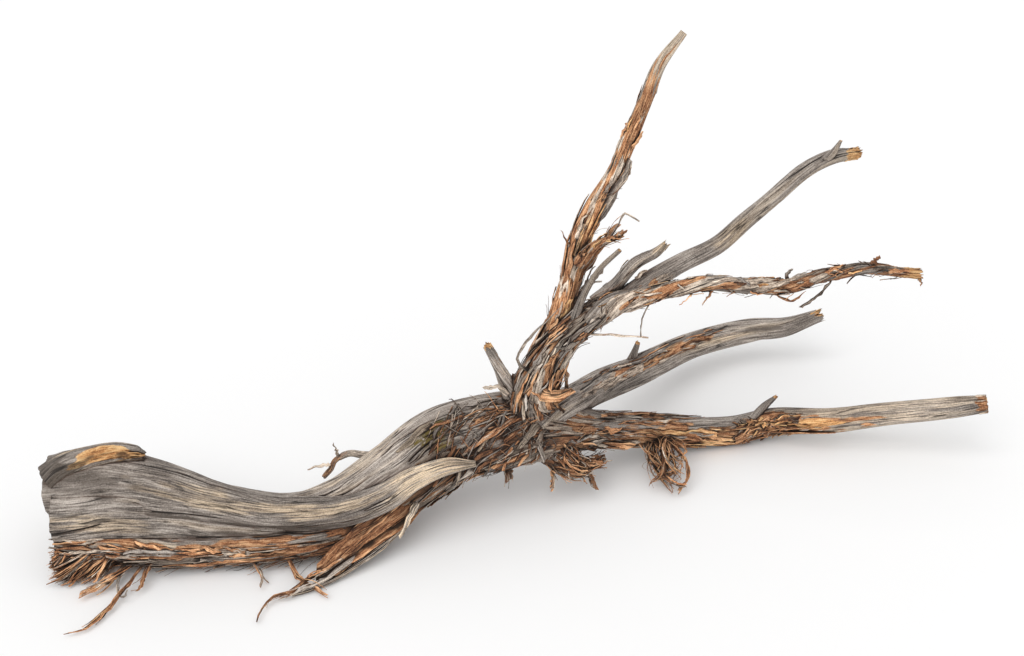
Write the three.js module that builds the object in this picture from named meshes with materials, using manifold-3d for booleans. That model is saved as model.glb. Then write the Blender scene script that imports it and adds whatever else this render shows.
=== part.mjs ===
// A piece of weathered juniper driftwood, in millimetres, +Z up, with the floor at z = 0.
// A twisted trunk of three grown-together strands runs along +X and ends in a shaggy crown,
// from which five broken branches fan out. Strips of loose bark hang from its underside.
// It is one grown piece, so every limb and strip is fused into one solid.
import * as THREE from "three";
import { mergeVertices } from "three/addons/utils/BufferGeometryUtils.js";
import Module from "manifold-3d";

const wasm = await Module();
wasm.setup();

// Driving dimensions
const SIZE = 1; // one size factor for the whole piece: 1 makes it about 550 mm long
const FRONT_ANGLE = 35; // degrees above the horizon that the piece's front side faces
const FLOOR_CUT = 60; // depth of the block that planes the resting spots flat
const BARK_THICKNESS = 1.3;
const BARK_ROOT = 1.6; // how deep the root of a bark strip is sunk into the wood
const TIP_WIDTH = 0.35; // a strip's tip as a share of its root width

// Weathered grey wood
const WOOD_COLOUR = 0x8d857b;
const WOOD_ROUGHNESS = 0.88;

// Each limb is a swept tube. A path point is [x, y, z, radius].
// ridges: [how many round the limb, depth as a share of the radius, turns along the limb, phase]
const limbs = {
  core: {
    sides: 18,
    steps: 21,
    flat: 0.94,
    ridges: [[3, 0.07, 0.35, 0.4], [7, 0.035, 0.5, 1.1]],
    jag: [1.8, 0],
    path: [
      [-264, -54, 27, 27.6], [-236, -54, 27, 27.8], [-202, -55, 24.5, 24.8], [-169, -56, 19.5, 19.8],
      [-135, -55, 16.5, 17.6], [-104, -47, 20.5, 18.8], [-76, -34, 31.5, 20.6], [-48, -15, 40.5, 23],
      [-19, -8, 45, 22], [10, -2, 45, 19.5], [32, 5, 38, 13], [50, 14, 31, 7],
    ],
  },
  upperStrand: {
    sides: 10,
    steps: 20,
    flat: 1,
    ridges: [[4, 0.07, 0.5, 0.9], [7, 0.03, 0.7, 0.2]],
    jag: [2, 1.5],
    path: [
      [-269, -52, 41, 16.5], [-260, -52, 41, 19.2], [-234, -53, 42, 20], [-200, -59, 42, 15.8],
      [-169, -62, 36, 11.2],
      [-147, -63, 31, 9.5], [-128, -62, 29, 9.5], [-103, -60, 30, 8.4], [-80, -56, 37, 7.9],
      [-64, -48, 43, 6.8], [-47, -41, 46, 5.1], [-29, -38, 46, 3.4],
    ],
  },
  lowerStrand: {
    sides: 10,
    steps: 15,
    flat: 1,
    ridges: [[4, 0.08, 0.3, 2.2]],
    jag: [1.8, 0],
    path: [
      [-262, -66, 17, 14.8], [-235, -68, 18, 14.6], [-201, -72, 15, 11.2], [-168, -70, 13, 9.6],
      [-134, -68, 13, 9.6], [-106, -62, 14, 9], [-78, -51, 22, 7.9], [-56, -37, 26, 6.9],
      [-33, -26, 33, 4.6],
    ],
  },
  ledge: {
    sides: 8,
    steps: 6,
    flat: 1,
    ridges: [[3, 0.12, 0.2, 0.3]],
    jag: [2, 2],
    path: [
      [-267, -61, 53, 8.4], [-258, -57, 58, 8.6], [-244, -53, 61, 8.4], [-229, -49, 61.5, 7],
      [-215, -45, 57.5, 4.4],
    ],
  },
  branchOne: {
    sides: 8,
    steps: 20,
    flat: 1,
    ridges: [[3, 0.08, 1.2, 0.5]],
    jag: [0, 1],
    path: [
      [0, 0, 55, 13.4], [7, 4, 85, 8.6], [18, 8, 113, 7.2], [24, 13, 137, 6.1], [28, 16, 160, 5.8],
      [36, 20, 180, 5.2], [46, 25, 197, 4.7], [55, 30, 218, 4.4], [63, 34, 238, 4.1],
      [70, 38, 259, 3.5], [83, 46, 274, 2.4],
    ],
  },
  stem: {
    sides: 10,
    steps: 8,
    flat: 1,
    ridges: [[4, 0.08, 0.6, 0.1]],
    jag: [0, 0],
    path: [
      [2, 0, 52, 17], [2, 0, 66, 14.4], [10, -2, 89, 10.8], [23, -2, 110, 8.2], [40, -2, 127, 6.5],
      [62, 0, 136, 4.4],
    ],
  },
  branchTwo: {
    sides: 8,
    steps: 18,
    flat: 1,
    ridges: [[3, 0.08, 0.8, 1.5]],
    jag: [0, 2],
    path: [
      [35, 0, 117, 6.2], [52, 6, 127, 6.2], [66, 12, 136, 5.6], [85, 20, 143, 5.3],
      [106, 26, 151, 5.1], [122, 30, 166, 4.8], [138, 34, 180, 4.5], [153, 40, 191, 4.5],
      [170, 48, 196, 4.2], [185, 56, 194, 3.4],
    ],
  },
  branchTwoFork: {
    sides: 5,
    steps: 3,
    flat: 1,
    ridges: [],
    jag: [0, 0],
    path: [[160, 44, 192, 2.8], [169, 44, 201, 2.2], [173, 44, 209, 0.8]],
  },
  branchThree: {
    sides: 6,
    steps: 20,
    flat: 1,
    ridges: [[3, 0.1, 2.2, 0.2]],
    jag: [0, 2],
    path: [
      [35, -3, 122, 6.7], [48, -6, 133, 6.1], [61, -10, 140, 5], [81, -16, 151, 4.4],
      [101, -22, 158, 4.1], [122, -28, 160, 4], [141, -32, 164, 4], [161, -34, 172, 3.5],
      [181, -34, 175, 3.2], [208, -30, 169, 2.7],
    ],
  },
  branchFour: {
    sides: 8,
    steps: 16,
    flat: 1,
    ridges: [[3, 0.09, 0.5, 2.6], [5, 0.04, 0.9, 0.3]],
    jag: [0, 3],
    path: [
      [4, -14, 52, 8], [22, 6, 53, 9.6], [44, 42, 41, 9.6], [70, 77, 29, 9.2], [110, 115, 21.5, 8.2],
      [143, 126.5, 22, 7.3], [166, 125.5, 26, 6.2], [188, 129, 33, 3.8],
    ],
  },
  branchFive: {
    sides: 10,
    steps: 19,
    flat: 1,
    ridges: [[3, 0.09, 0.7, 1.2], [5, 0.04, 0.4, 0.8]],
    jag: [0, 2],
    path: [
      [19, -2, 43, 12.4], [46, 13, 31, 10.2], [74, 28, 19, 10.2], [105, 37, 11, 8.4], [127, 42, 7.6, 8.5],
      [151, 46, 11, 8.5], [183, 38, 18.5, 7.6], [215, 35, 25.5, 6.9], [247, 31, 32, 6.6], [274, 29, 37.5, 6],
    ],
  },
  brokenStem: {
    sides: 6,
    steps: 6,
    flat: 1,
    ridges: [[3, 0.1, 0.4, 0.5]],
    jag: [0, 1.5],
    path: [[38, 4, 127, 5], [49, 10, 136, 3.9], [60, 16, 146, 3.4], [71, 20, 150, 2.8], [77, 22, 155, 1.7]],
  },
  innerTwig: {
    sides: 5,
    steps: 4,
    flat: 1,
    ridges: [],
    jag: [0, 0],
    path: [[26, -4, 123, 2.8], [31, -8, 142, 1.9], [39, -12, 161, 1.6], [49, -14, 174, 1.3]],
  },
  splitTwig: {
    sides: 5,
    steps: 3,
    flat: 1,
    ridges: [],
    jag: [0, 1],
    path: [[28, 10, 151, 4.4], [38, 4, 166, 2.7], [51, -2, 176, 1.4]],
  },
  crownStub: {
    sides: 6,
    steps: 4,
    flat: 1,
    ridges: [[3, 0.1, 0.2, 0.5]],
    jag: [0, 0.8],
    path: [[-9, -4, 69, 5.2], [-16, -4, 87, 3.4], [-23, -4, 104, 2.3]],
  },
  rootKnob: {
    sides: 8,
    steps: 7,
    flat: 1,
    ridges: [[4, 0.12, 0.4, 0.9]],
    jag: [0, 1],
    path: [[7, -4, 42, 12.8], [19, -10, 30, 8.7], [28, -13, 24, 7], [38, -7, 22, 2.9], [45, -2, 22, 1.8]],
  },
  branchFiveStub: {
    sides: 5,
    steps: 3,
    flat: 1,
    ridges: [],
    jag: [0, 0.5],
    path: [[137, 44, 14, 3], [145, 50, 20, 2.4], [152, 53, 25, 1.2]],
  },
  branchFourStub: {
    sides: 5,
    steps: 3,
    flat: 1,
    ridges: [],
    jag: [0, 0.5],
    path: [[62, 70, 35, 3.1], [66, 73, 44, 2.1], [68, 75, 50, 1.5]],
  },
  backTwig: {
    sides: 5,
    steps: 7,
    flat: 1,
    ridges: [],
    jag: [0, 0.5],
    path: [
      [-74, -26, 42, 2.6], [-95, -15, 34, 2], [-104, -10, 31, 1.7], [-112, -10, 26, 1.8],
      [-115, -11, 20, 1.8], [-119, -12, 15, 1.5],
    ],
  },
};

// The direction that the front side faces. Every limb's section is measured from it.
const FRONT = new THREE.Vector3(
  0,
  -Math.cos(THREE.MathUtils.degToRad(FRONT_ANGLE)),
  Math.sin(THREE.MathUtils.degToRad(FRONT_ANGLE)),
);

// A closed three.js geometry as a manifold solid.
function solidOf(geometry) {
  const bare = geometry.clone();
  bare.deleteAttribute("normal");
  bare.deleteAttribute("uv");
  const merged = mergeVertices(bare, 1e-4);
  return new wasm.Manifold(
    new wasm.Mesh({
      numProp: 3,
      vertProperties: new Float32Array(merged.attributes.position.array),
      triVerts: new Uint32Array(merged.index.array),
    }),
  );
}

// A point, radius and section axes along a limb: front faces FRONT, up completes the section.
function limbFrame(limb, t) {
  const place = limb.curve.getPoint(t);
  const tangent = limb.curve.getTangent(t);
  const front = FRONT.clone().addScaledVector(tangent, -FRONT.dot(tangent)).normalize();
  const up = new THREE.Vector3().crossVectors(front, tangent);
  return { place, tangent, front, up, radius: limb.radiusCurve.getPoint(t).x };
}

// The section's radius as a share of the limb's own, with its twisted ridges.
function ridgeShare(limb, angle, t) {
  let share = 1;
  for (const [count, depth, turns, phase] of limb.ridges) {
    share += depth * Math.cos(count * (angle - 2 * Math.PI * turns * t) + phase);
  }
  return share;
}

// The surface point of a limb at an angle from its front, raised by some millimetres.
function onLimb(limb, angle, t, raise = 0) {
  const { place, front, up, radius } = limbFrame(limb, t);
  const reach = radius * ridgeShare(limb, angle, t) + raise;
  return place
    .addScaledVector(front, reach * limb.flat * Math.cos(angle))
    .addScaledVector(up, reach * Math.sin(angle));
}

for (const limb of Object.values(limbs)) {
  limb.curve = new THREE.CatmullRomCurve3(
    limb.path.map(([x, y, z]) => new THREE.Vector3(x, y, z)),
    false,
    "centripetal",
  );
  limb.radiusCurve = new THREE.CatmullRomCurve3(
    limb.path.map((point) => new THREE.Vector3(point[3], 0, 0)),
    false,
    "catmullrom",
    0.4,
  );
  limb.length = limb.curve.getLength();
}

// A cylinder bent along the limb's curve, with splintered ends.
function limbSolid(limb) {
  const tube = new THREE.CylinderGeometry(1, 1, 1, limb.sides, limb.steps);
  const corners = tube.attributes.position;
  for (let i = 0; i < corners.count; i += 1) {
    const t = THREE.MathUtils.clamp(corners.getY(i) + 0.5, 0, 1);
    const angle = Math.atan2(corners.getZ(i), corners.getX(i));
    const share = Math.min(1, Math.hypot(corners.getX(i), corners.getZ(i)));
    const { place, tangent, front, up, radius } = limbFrame(limb, t);
    const reach = share < 0.5 ? 0 : radius * ridgeShare(limb, angle, t);
    place
      .addScaledVector(front, reach * limb.flat * Math.cos(angle))
      .addScaledVector(up, reach * Math.sin(angle));
    if (t === 0 || t === 1) {
      const splinter = share < 0.5 ? -0.4 : Math.sin(3 * angle + 1) * Math.cos(5 * angle);
      place.addScaledVector(tangent, (t === 0 ? -1 : 1) * limb.jag[t] * splinter);
    }
    corners.setXYZ(i, place.x, place.y, place.z);
  }
  return solidOf(tube);
}

// A flat strip bent along a list of points. outward(t) says which way its face looks.
function stripSolid(points, width, outward, thickness = BARK_THICKNESS) {
  const steps = Math.max(3, points.length - 1);
  const curve = new THREE.CatmullRomCurve3(points, false, "centripetal");
  const strip = new THREE.BoxGeometry(1, 1, 1, 1, 1, steps);
  const corners = strip.attributes.position;
  for (let i = 0; i < corners.count; i += 1) {
    const t = THREE.MathUtils.clamp(corners.getZ(i) + 0.5, 0, 1);
    const place = curve.getPoint(t);
    const tangent = curve.getTangent(t);
    const face = outward(t).addScaledVector(tangent, -outward(t).dot(tangent)).normalize();
    const across = new THREE.Vector3().crossVectors(face, tangent);
    const taper = THREE.MathUtils.lerp(1, TIP_WIDTH, t * t);
    place
      .addScaledVector(across, corners.getX(i) * width * taper)
      .addScaledVector(face, corners.getY(i) * thickness * (1 - 0.3 * t));
    corners.setXYZ(i, place.x, place.y, place.z);
  }
  return solidOf(strip);
}

// The same numbers on every run: a small linear congruential generator.
function seeded(seed) {
  let state = seed;
  return (low, high) => {
    state = (state * 1664525 + 1013904223) % 4294967296;
    return low + ((high - low) * state) / 4294967296;
  };
}

// Bark strips that lie along a limb, with their far ends lifted off it.
function barkOn(limb, rule) {
  const between = seeded(rule.seed);
  const made = [];
  for (let k = 0; k < rule.count; k += 1) {
    const start = between(rule.along[0], rule.along[1]);
    const angle = THREE.MathUtils.degToRad(between(rule.angles[0], rule.angles[1]));
    const length = between(rule.length[0], rule.length[1]);
    const width = between(rule.width[0], rule.width[1]);
    const lift = between(rule.lift[0], rule.lift[1]);
    const turn = THREE.MathUtils.degToRad(between(-rule.turn, rule.turn));
    const end = THREE.MathUtils.clamp(start + (rule.towards * length) / limb.length, 0.01, 0.99);
    const points = [0, 0.33, 0.66, 1].map((share) =>
      onLimb(
        limb,
        angle + turn * share,
        THREE.MathUtils.lerp(start, end, share),
        -BARK_ROOT + (BARK_ROOT + 0.4) * Math.min(1, 2 * share) + lift * share ** 3,
      ),
    );
    const axis = limbFrame(limb, (start + end) / 2).place;
    const face = points[1].clone().sub(axis);
    made.push(stripSolid(points, width, () => face.clone()));
  }
  return made;
}

const barkRules = [
  // frayed bark along the underside of the trunk
  ["lowerStrand", {
    seed: 3, count: 7, along: [0.06, 0.62], angles: [-95, -55], length: [30, 62],
    width: [3, 6], lift: [0, 3], turn: 14, towards: -1,
  }],
  ["lowerStrand", {
    seed: 11, count: 3, along: [0.45, 0.95], angles: [-120, -30], length: [28, 50],
    width: [3, 6], lift: [1, 6], turn: 16, towards: -1,
  }],
  // shaggy crown
  ["core", {
    seed: 5, count: 10, along: [0.82, 0.99], angles: [-100, 60], length: [24, 48],
    width: [3, 6], lift: [1, 7], turn: 18, towards: -1,
  }],
  ["core", {
    seed: 23, count: 5, along: [0.84, 0.99], angles: [90, 220], length: [22, 42],
    width: [3, 6], lift: [1, 5], turn: 18, towards: -1,
  }],
  ["stem", {
    seed: 7, count: 7, along: [0.05, 0.7], angles: [-180, 180], length: [24, 44],
    width: [3, 5], lift: [0, 4], turn: 20, towards: 1,
  }],
  // branches that still carry bark
  ["branchOne", {
    seed: 13, count: 8, along: [0.12, 0.56], angles: [-180, 180], length: [22, 44],
    width: [3, 5], lift: [0, 4], turn: 30, towards: 1,
  }],
  ["branchThree", {
    seed: 17, count: 6, along: [0.1, 0.85], angles: [-180, 180], length: [16, 32],
    width: [2.5, 4], lift: [0, 3], turn: 70, towards: -1,
  }],
  ["branchFive", {
    seed: 19, count: 8, along: [0.12, 0.55], angles: [-120, 60], length: [24, 46],
    width: [3, 6], lift: [0, 4], turn: 14, towards: 1,
  }],
  ["rootKnob", {
    seed: 29, count: 4, along: [0.2, 0.75], angles: [-180, 180], length: [12, 22],
    width: [2.5, 4], lift: [1, 5], turn: 30, towards: 1,
  }],
];

// Loose strips, twiglets and fibres: [width, thickness, points]. The first point is in the wood.
const looseStrips = {
  trailLong: [2.6, 1.3, [
    [-210, -72, 11], [-219, -89, 7], [-225, -99, 4.5], [-230, -111, 3.5], [-234, -118, 3],
    [-240, -126, 2.5], [-249, -130, 2.5],
  ]],
  trailWide: [5.5, 1.2, [[-212, -72, 10], [-229, -87, 7], [-239, -95, 5], [-248, -102, 4]]],
  trailHook: [2.4, 1.2, [[-209, -72, 11], [-213, -87, 7], [-214, -92, 5], [-217, -98, 4]]],
  curlTip: [1.6, 1.2, [
    [-226, -72, 10], [-228, -90, 5.5], [-227, -99, 4.5], [-223, -104, 5], [-221, -101, 8],
  ]],
  midWisp: [1.8, 1.2, [[-158, -71, 10], [-152, -81, 6], [-148, -87, 4.5], [-149, -94, 3.5]]],
  midStrip: [3.2, 1.2, [
    [-138, -69, 10], [-130, -85, 6], [-125, -90, 4.5], [-120, -94, 3.5], [-111, -100, 3],
  ]],
  slabTop: [13, 1.4, [[-50, -32, 34.5], [-73, -54, 28], [-90, -66, 20.5], [-105, -75, 13], [-118, -86, 6]]],
  slabLow: [10, 1.4, [[-52, -33, 26], [-70, -54, 20], [-86, -66, 14.5], [-100, -75, 9], [-112, -86, 4.5]]],
  slabEdge: [6, 1.3, [[-58, -35, 36], [-76, -54, 29.5], [-92, -66, 21], [-106, -73, 14.5]]],
  fibreLong: [2.6, 1.2, [
    [-88, -62, 12], [-103, -76, 8], [-124, -91, 5.5], [-132, -100, 4.5], [-141, -102, 3.5],
    [-146, -111, 3], [-148, -121, 2.5],
  ]],
  fibreTwo: [2.2, 1.2, [[-86, -63, 11], [-112, -90, 6.5], [-123, -96, 5], [-134, -102, 3.5]]],
  fibreThree: [2, 1.2, [[-90, -62, 12], [-112, -85, 9], [-122, -91, 8]]],
  palePoint: [4, 1.3, [[-52, -20, 32], [-62, -49, 29], [-67, -58, 22.5], [-72, -66, 15]]],
  underFlap: [6, 1.8, [[-17, -6, 34], [-12, -18, 28], [-11, -27, 24]]],
  hangingRoot: [2.6, 1.8, [[17, -8, 32], [15, -17, 20], [14, -24, 14]]],
  hangingRootTwo: [2.4, 1.6, [[34, -7, 25], [37, -15, 18], [41, -20, 12]]],
  hangingRootThree: [1.8, 1.4, [[33, -9, 25], [33, -15, 20], [33, -18, 16]]],
  ballOne: [3.4, 1.4, [[75, 28, 16], [74, 14, 11], [77, 2, 7], [85, -13, 4]]],
  ballTwo: [3, 1.4, [[80, 26, 16], [89, 15, 15], [95, 4, 12.5], [95, -4, 8.5], [89, -12, 5]]],
  ballThree: [3, 1.4, [[77, 27, 17], [81, 7, 15], [79, -6, 12], [72, -10, 8]]],
  ballFour: [2.6, 1.4, [[84, 26, 18], [81, 8, 19], [85, -5, 16], [93, -3, 10]]],
  ballFive: [3, 1.4, [[74, 27, 16], [77, 6, 12], [83, -6, 9], [93, -8, 5.5]]],
  edgeSliver: [2, 1.2, [[4, -6, 84], [-6, -10, 99], [-1, -5, 107], [6, -2, 114], [18, 2, 126]]],
  straightTwig: [1.3, 1.2, [[24, -3, 111], [46, -8, 114], [67, -12, 115]]],
  arcFibre: [1.2, 1.1, [[70, -13, 146], [63, -18, 134], [62, -20, 121]]],
  post: [2.6, 1.8, [[19, 0, 93], [22, 3, 80], [22, 12, 66], [24, 16, 48]]],
  frillOne: [1.6, 1.1, [[128, -29, 159], [140, -36, 156], [147, -40, 165]]],
  frillTwo: [1.8, 1.1, [[163, -34, 171], [153, -42, 163], [144, -46, 159]]],
  frillThree: [2.4, 1.1, [[137, -31, 163], [138, -30, 168], [140, -30, 173]]],
  frillFour: [1.4, 1.1, [[91, -19, 153], [88, -22, 150], [82, -24, 145]]],
  frillFive: [1.6, 1.1, [[101, -22, 156], [98, -24, 152], [94, -26, 147]]],
  nib: [2.4, 1.4, [[178, -33, 174], [183, -34, 180], [185, -36, 184]]],
  hookTip: [1.8, 1.3, [[204, -31, 170], [209, -32, 167], [210, -32, 163]]],
  innerPlate: [6, 1.6, [[27, 10, 138], [36, 14, 150], [44, 16, 163], [50, 16, 172]]],
  innerPlateLow: [4, 1.4, [[26, 6, 126], [34, 8, 138], [41, 8, 148]]],
  barkPlate: [5, 1.4, [[33, 14, 168], [46, 18, 189], [52, 21, 200], [56, 24, 208]]],
  plateHair: [1.2, 1.1, [[38, 18, 184], [48, 12, 196], [53, 11, 204], [55, 11, 211]]],
  zigTwig: [1.3, 1.2, [[42, 3, 168], [46, 4, 173], [50, 2, 183], [52, 0, 189], [60, -2, 185]]],
  leftTwig: [1.6, 1.2, [[26, 15, 154], [22, 12, 162], [18, 10, 172]]],
  darkFlake: [2.6, 1.3, [[64, 12, 134], [61, 10, 140], [66, 8, 147]]],
  crownNub: [3, 1.8, [[-6, -6, 66], [-17, -12, 81], [-25, -16, 83]]],
  backTwigSide: [1.6, 1.3, [[-110, -10, 28], [-111, -10, 33], [-113, -8, 37]]],
  backTwigLeft: [1.8, 1.3, [[-114, -11, 23], [-119, -12, 24], [-128, -14, 22]]],
};

// The brush of torn bark under the broken end of the trunk.
function endBrush() {
  const between = seeded(41);
  const made = [];
  const bristles = 9;
  for (let k = 0; k < bristles; k += 1) {
    const x = THREE.MathUtils.lerp(-255, -222, k / (bristles - 1)) + between(-2, 2);
    const reach = between(16, 27);
    const points = [
      new THREE.Vector3(x, -70, 12),
      new THREE.Vector3(x - 0.12 * reach, -78 - between(0, 2), 7.5),
      new THREE.Vector3(x - 0.4 * reach, -80 - 0.75 * reach * between(0.5, 0.9), between(3.5, 5)),
    ];
    made.push(stripSolid(points, between(3.5, 5.5), () => FRONT.clone()));
  }
  return made;
}

function looseSolids() {
  return Object.values(looseStrips).map(([width, thickness, points]) =>
    stripSolid(
      points.map((point) => new THREE.Vector3(...point)),
      width,
      () => FRONT.clone(),
      thickness,
    ),
  );
}

// The block below the floor: what it cuts away leaves the flat spots that the piece rests on.
function floorBlock() {
  const block = new THREE.BoxGeometry(900, 700, FLOOR_CUT);
  block.translate(0, 0, -FLOOR_CUT / 2);
  return solidOf(block);
}

function driftwoodSolid() {
  const grown = [
    ...Object.values(limbs).map(limbSolid),
    ...barkRules.flatMap(([name, rule]) => barkOn(limbs[name], rule)),
    ...endBrush(),
    ...looseSolids(),
  ];
  const whole = grown.reduce((sum, solid) => sum.add(solid)).subtract(floorBlock());
  // Scraps that the floor cut off are dropped: the largest body is the driftwood.
  const bodies = whole.decompose();
  return bodies.reduce((best, body) => (body.volume() > best.volume() ? body : best));
}

function geometryOf(solid) {
  const mesh = solid.getMesh();
  const geometry = new THREE.BufferGeometry();
  geometry.setAttribute("position", new THREE.BufferAttribute(new Float32Array(mesh.vertProperties), 3));
  geometry.setIndex(new THREE.BufferAttribute(new Uint32Array(mesh.triVerts), 1));
  return geometry.scale(SIZE, SIZE, SIZE);
}

const driftwood = new THREE.Mesh(
  geometryOf(driftwoodSolid()),
  new THREE.MeshStandardMaterial({
    color: WOOD_COLOUR, roughness: WOOD_ROUGHNESS, metalness: 0, flatShading: true,
  }),
);
driftwood.name = "driftwood";

const group = new THREE.Group();
group.add(driftwood);

export default group;
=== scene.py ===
import bmesh
import bpy
import itertools
import math
import mathutils.bvhtree
import numpy as np
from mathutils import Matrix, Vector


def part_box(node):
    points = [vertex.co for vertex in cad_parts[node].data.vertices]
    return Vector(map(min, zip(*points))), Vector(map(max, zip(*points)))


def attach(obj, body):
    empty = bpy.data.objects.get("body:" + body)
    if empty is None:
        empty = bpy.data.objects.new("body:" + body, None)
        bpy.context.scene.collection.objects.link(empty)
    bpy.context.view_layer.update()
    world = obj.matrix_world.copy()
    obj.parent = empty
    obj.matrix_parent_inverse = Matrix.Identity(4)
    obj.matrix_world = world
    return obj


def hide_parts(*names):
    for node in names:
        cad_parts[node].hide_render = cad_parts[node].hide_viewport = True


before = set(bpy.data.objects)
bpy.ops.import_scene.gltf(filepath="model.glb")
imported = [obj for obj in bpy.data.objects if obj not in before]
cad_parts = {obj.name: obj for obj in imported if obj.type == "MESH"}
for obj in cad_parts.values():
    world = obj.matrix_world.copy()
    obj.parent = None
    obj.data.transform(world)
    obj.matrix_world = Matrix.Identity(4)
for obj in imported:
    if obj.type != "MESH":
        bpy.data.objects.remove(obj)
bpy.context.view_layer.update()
low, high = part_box("driftwood")

fewer = 1
fineness = 1
mm = 0.001
frontAngle = math.radians(35)  # the front side faces this far above the horizon
front = np.array([0.0, -math.cos(frontAngle), math.sin(frontAngle)])

hashPrimes = (73856093, 19349663, 83492791, 15485863)  # for x, y, z and the seed
hashMixers = (1274126177, 668265263)


# Smooth noise from -1 to 1 on a lattice of unit cells
def valueNoise(points, seed):
    cell = np.floor(points).astype(np.int64)
    part = points - cell
    part = part * part * (3 - 2 * part)
    total = np.zeros(points.shape[:-1])
    for corner in itertools.product((0, 1), repeat=3):
        weight = 1.0
        mix = seed * hashPrimes[3]
        for axis, step in enumerate(corner):
            weight = weight * (part[..., axis] if step else 1 - part[..., axis])
            mix = mix ^ ((cell[..., axis] + step) * hashPrimes[axis])
        mix = ((mix ^ (mix >> 13)) * hashMixers[0]) & 0xFFFFFFFF
        mix = ((mix ^ (mix >> 15)) * hashMixers[1]) & 0xFFFFFFFF
        mix = (mix ^ (mix >> 16)) & 0xFFFF
        total += weight * (mix / 32767.5 - 1)
    return total


def smoothStep(start, end, value):
    share = np.clip((value - start) / (end - start), 0, 1)
    return share * share * (3 - 2 * share)


def between(span, share):
    return span[0] + (span[1] - span[0]) * share


def unit(vectors):
    return vectors / np.maximum(np.linalg.norm(vectors, axis=-1, keepdims=True), 1e-12)


# A centripetal Catmull-Rom curve through the points, at shares t of its number of spans
def curveThrough(points, t):
    points = np.array(points, float)
    first = 2 * points[0] - points[1]
    last = 2 * points[-1] - points[-2]
    padded = np.vstack([first, points, last])
    spans = len(points) - 1
    place = np.clip(t, 0, 1) * spans
    index = np.minimum(place.astype(int), spans - 1)
    share = (place - index)[:, None]
    a, b, c, d = (padded[index + k] for k in range(4))
    gapA, gapB, gapC = (
        np.maximum(np.linalg.norm(end - start, axis=1, keepdims=True), 1e-4) ** 0.5
        for start, end in ((a, b), (b, c), (c, d))
    )
    slopeB = ((b - a) / gapA - (c - a) / (gapA + gapB) + (c - b) / gapB) * gapB
    slopeC = ((c - b) / gapB - (d - b) / (gapB + gapC) + (d - c) / gapC) * gapB
    return (
        b
        + slopeB * share
        + (3 * (c - b) - 2 * slopeB - slopeC) * share**2
        + (slopeB + slopeC - 2 * (c - b)) * share**3
    )


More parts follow.
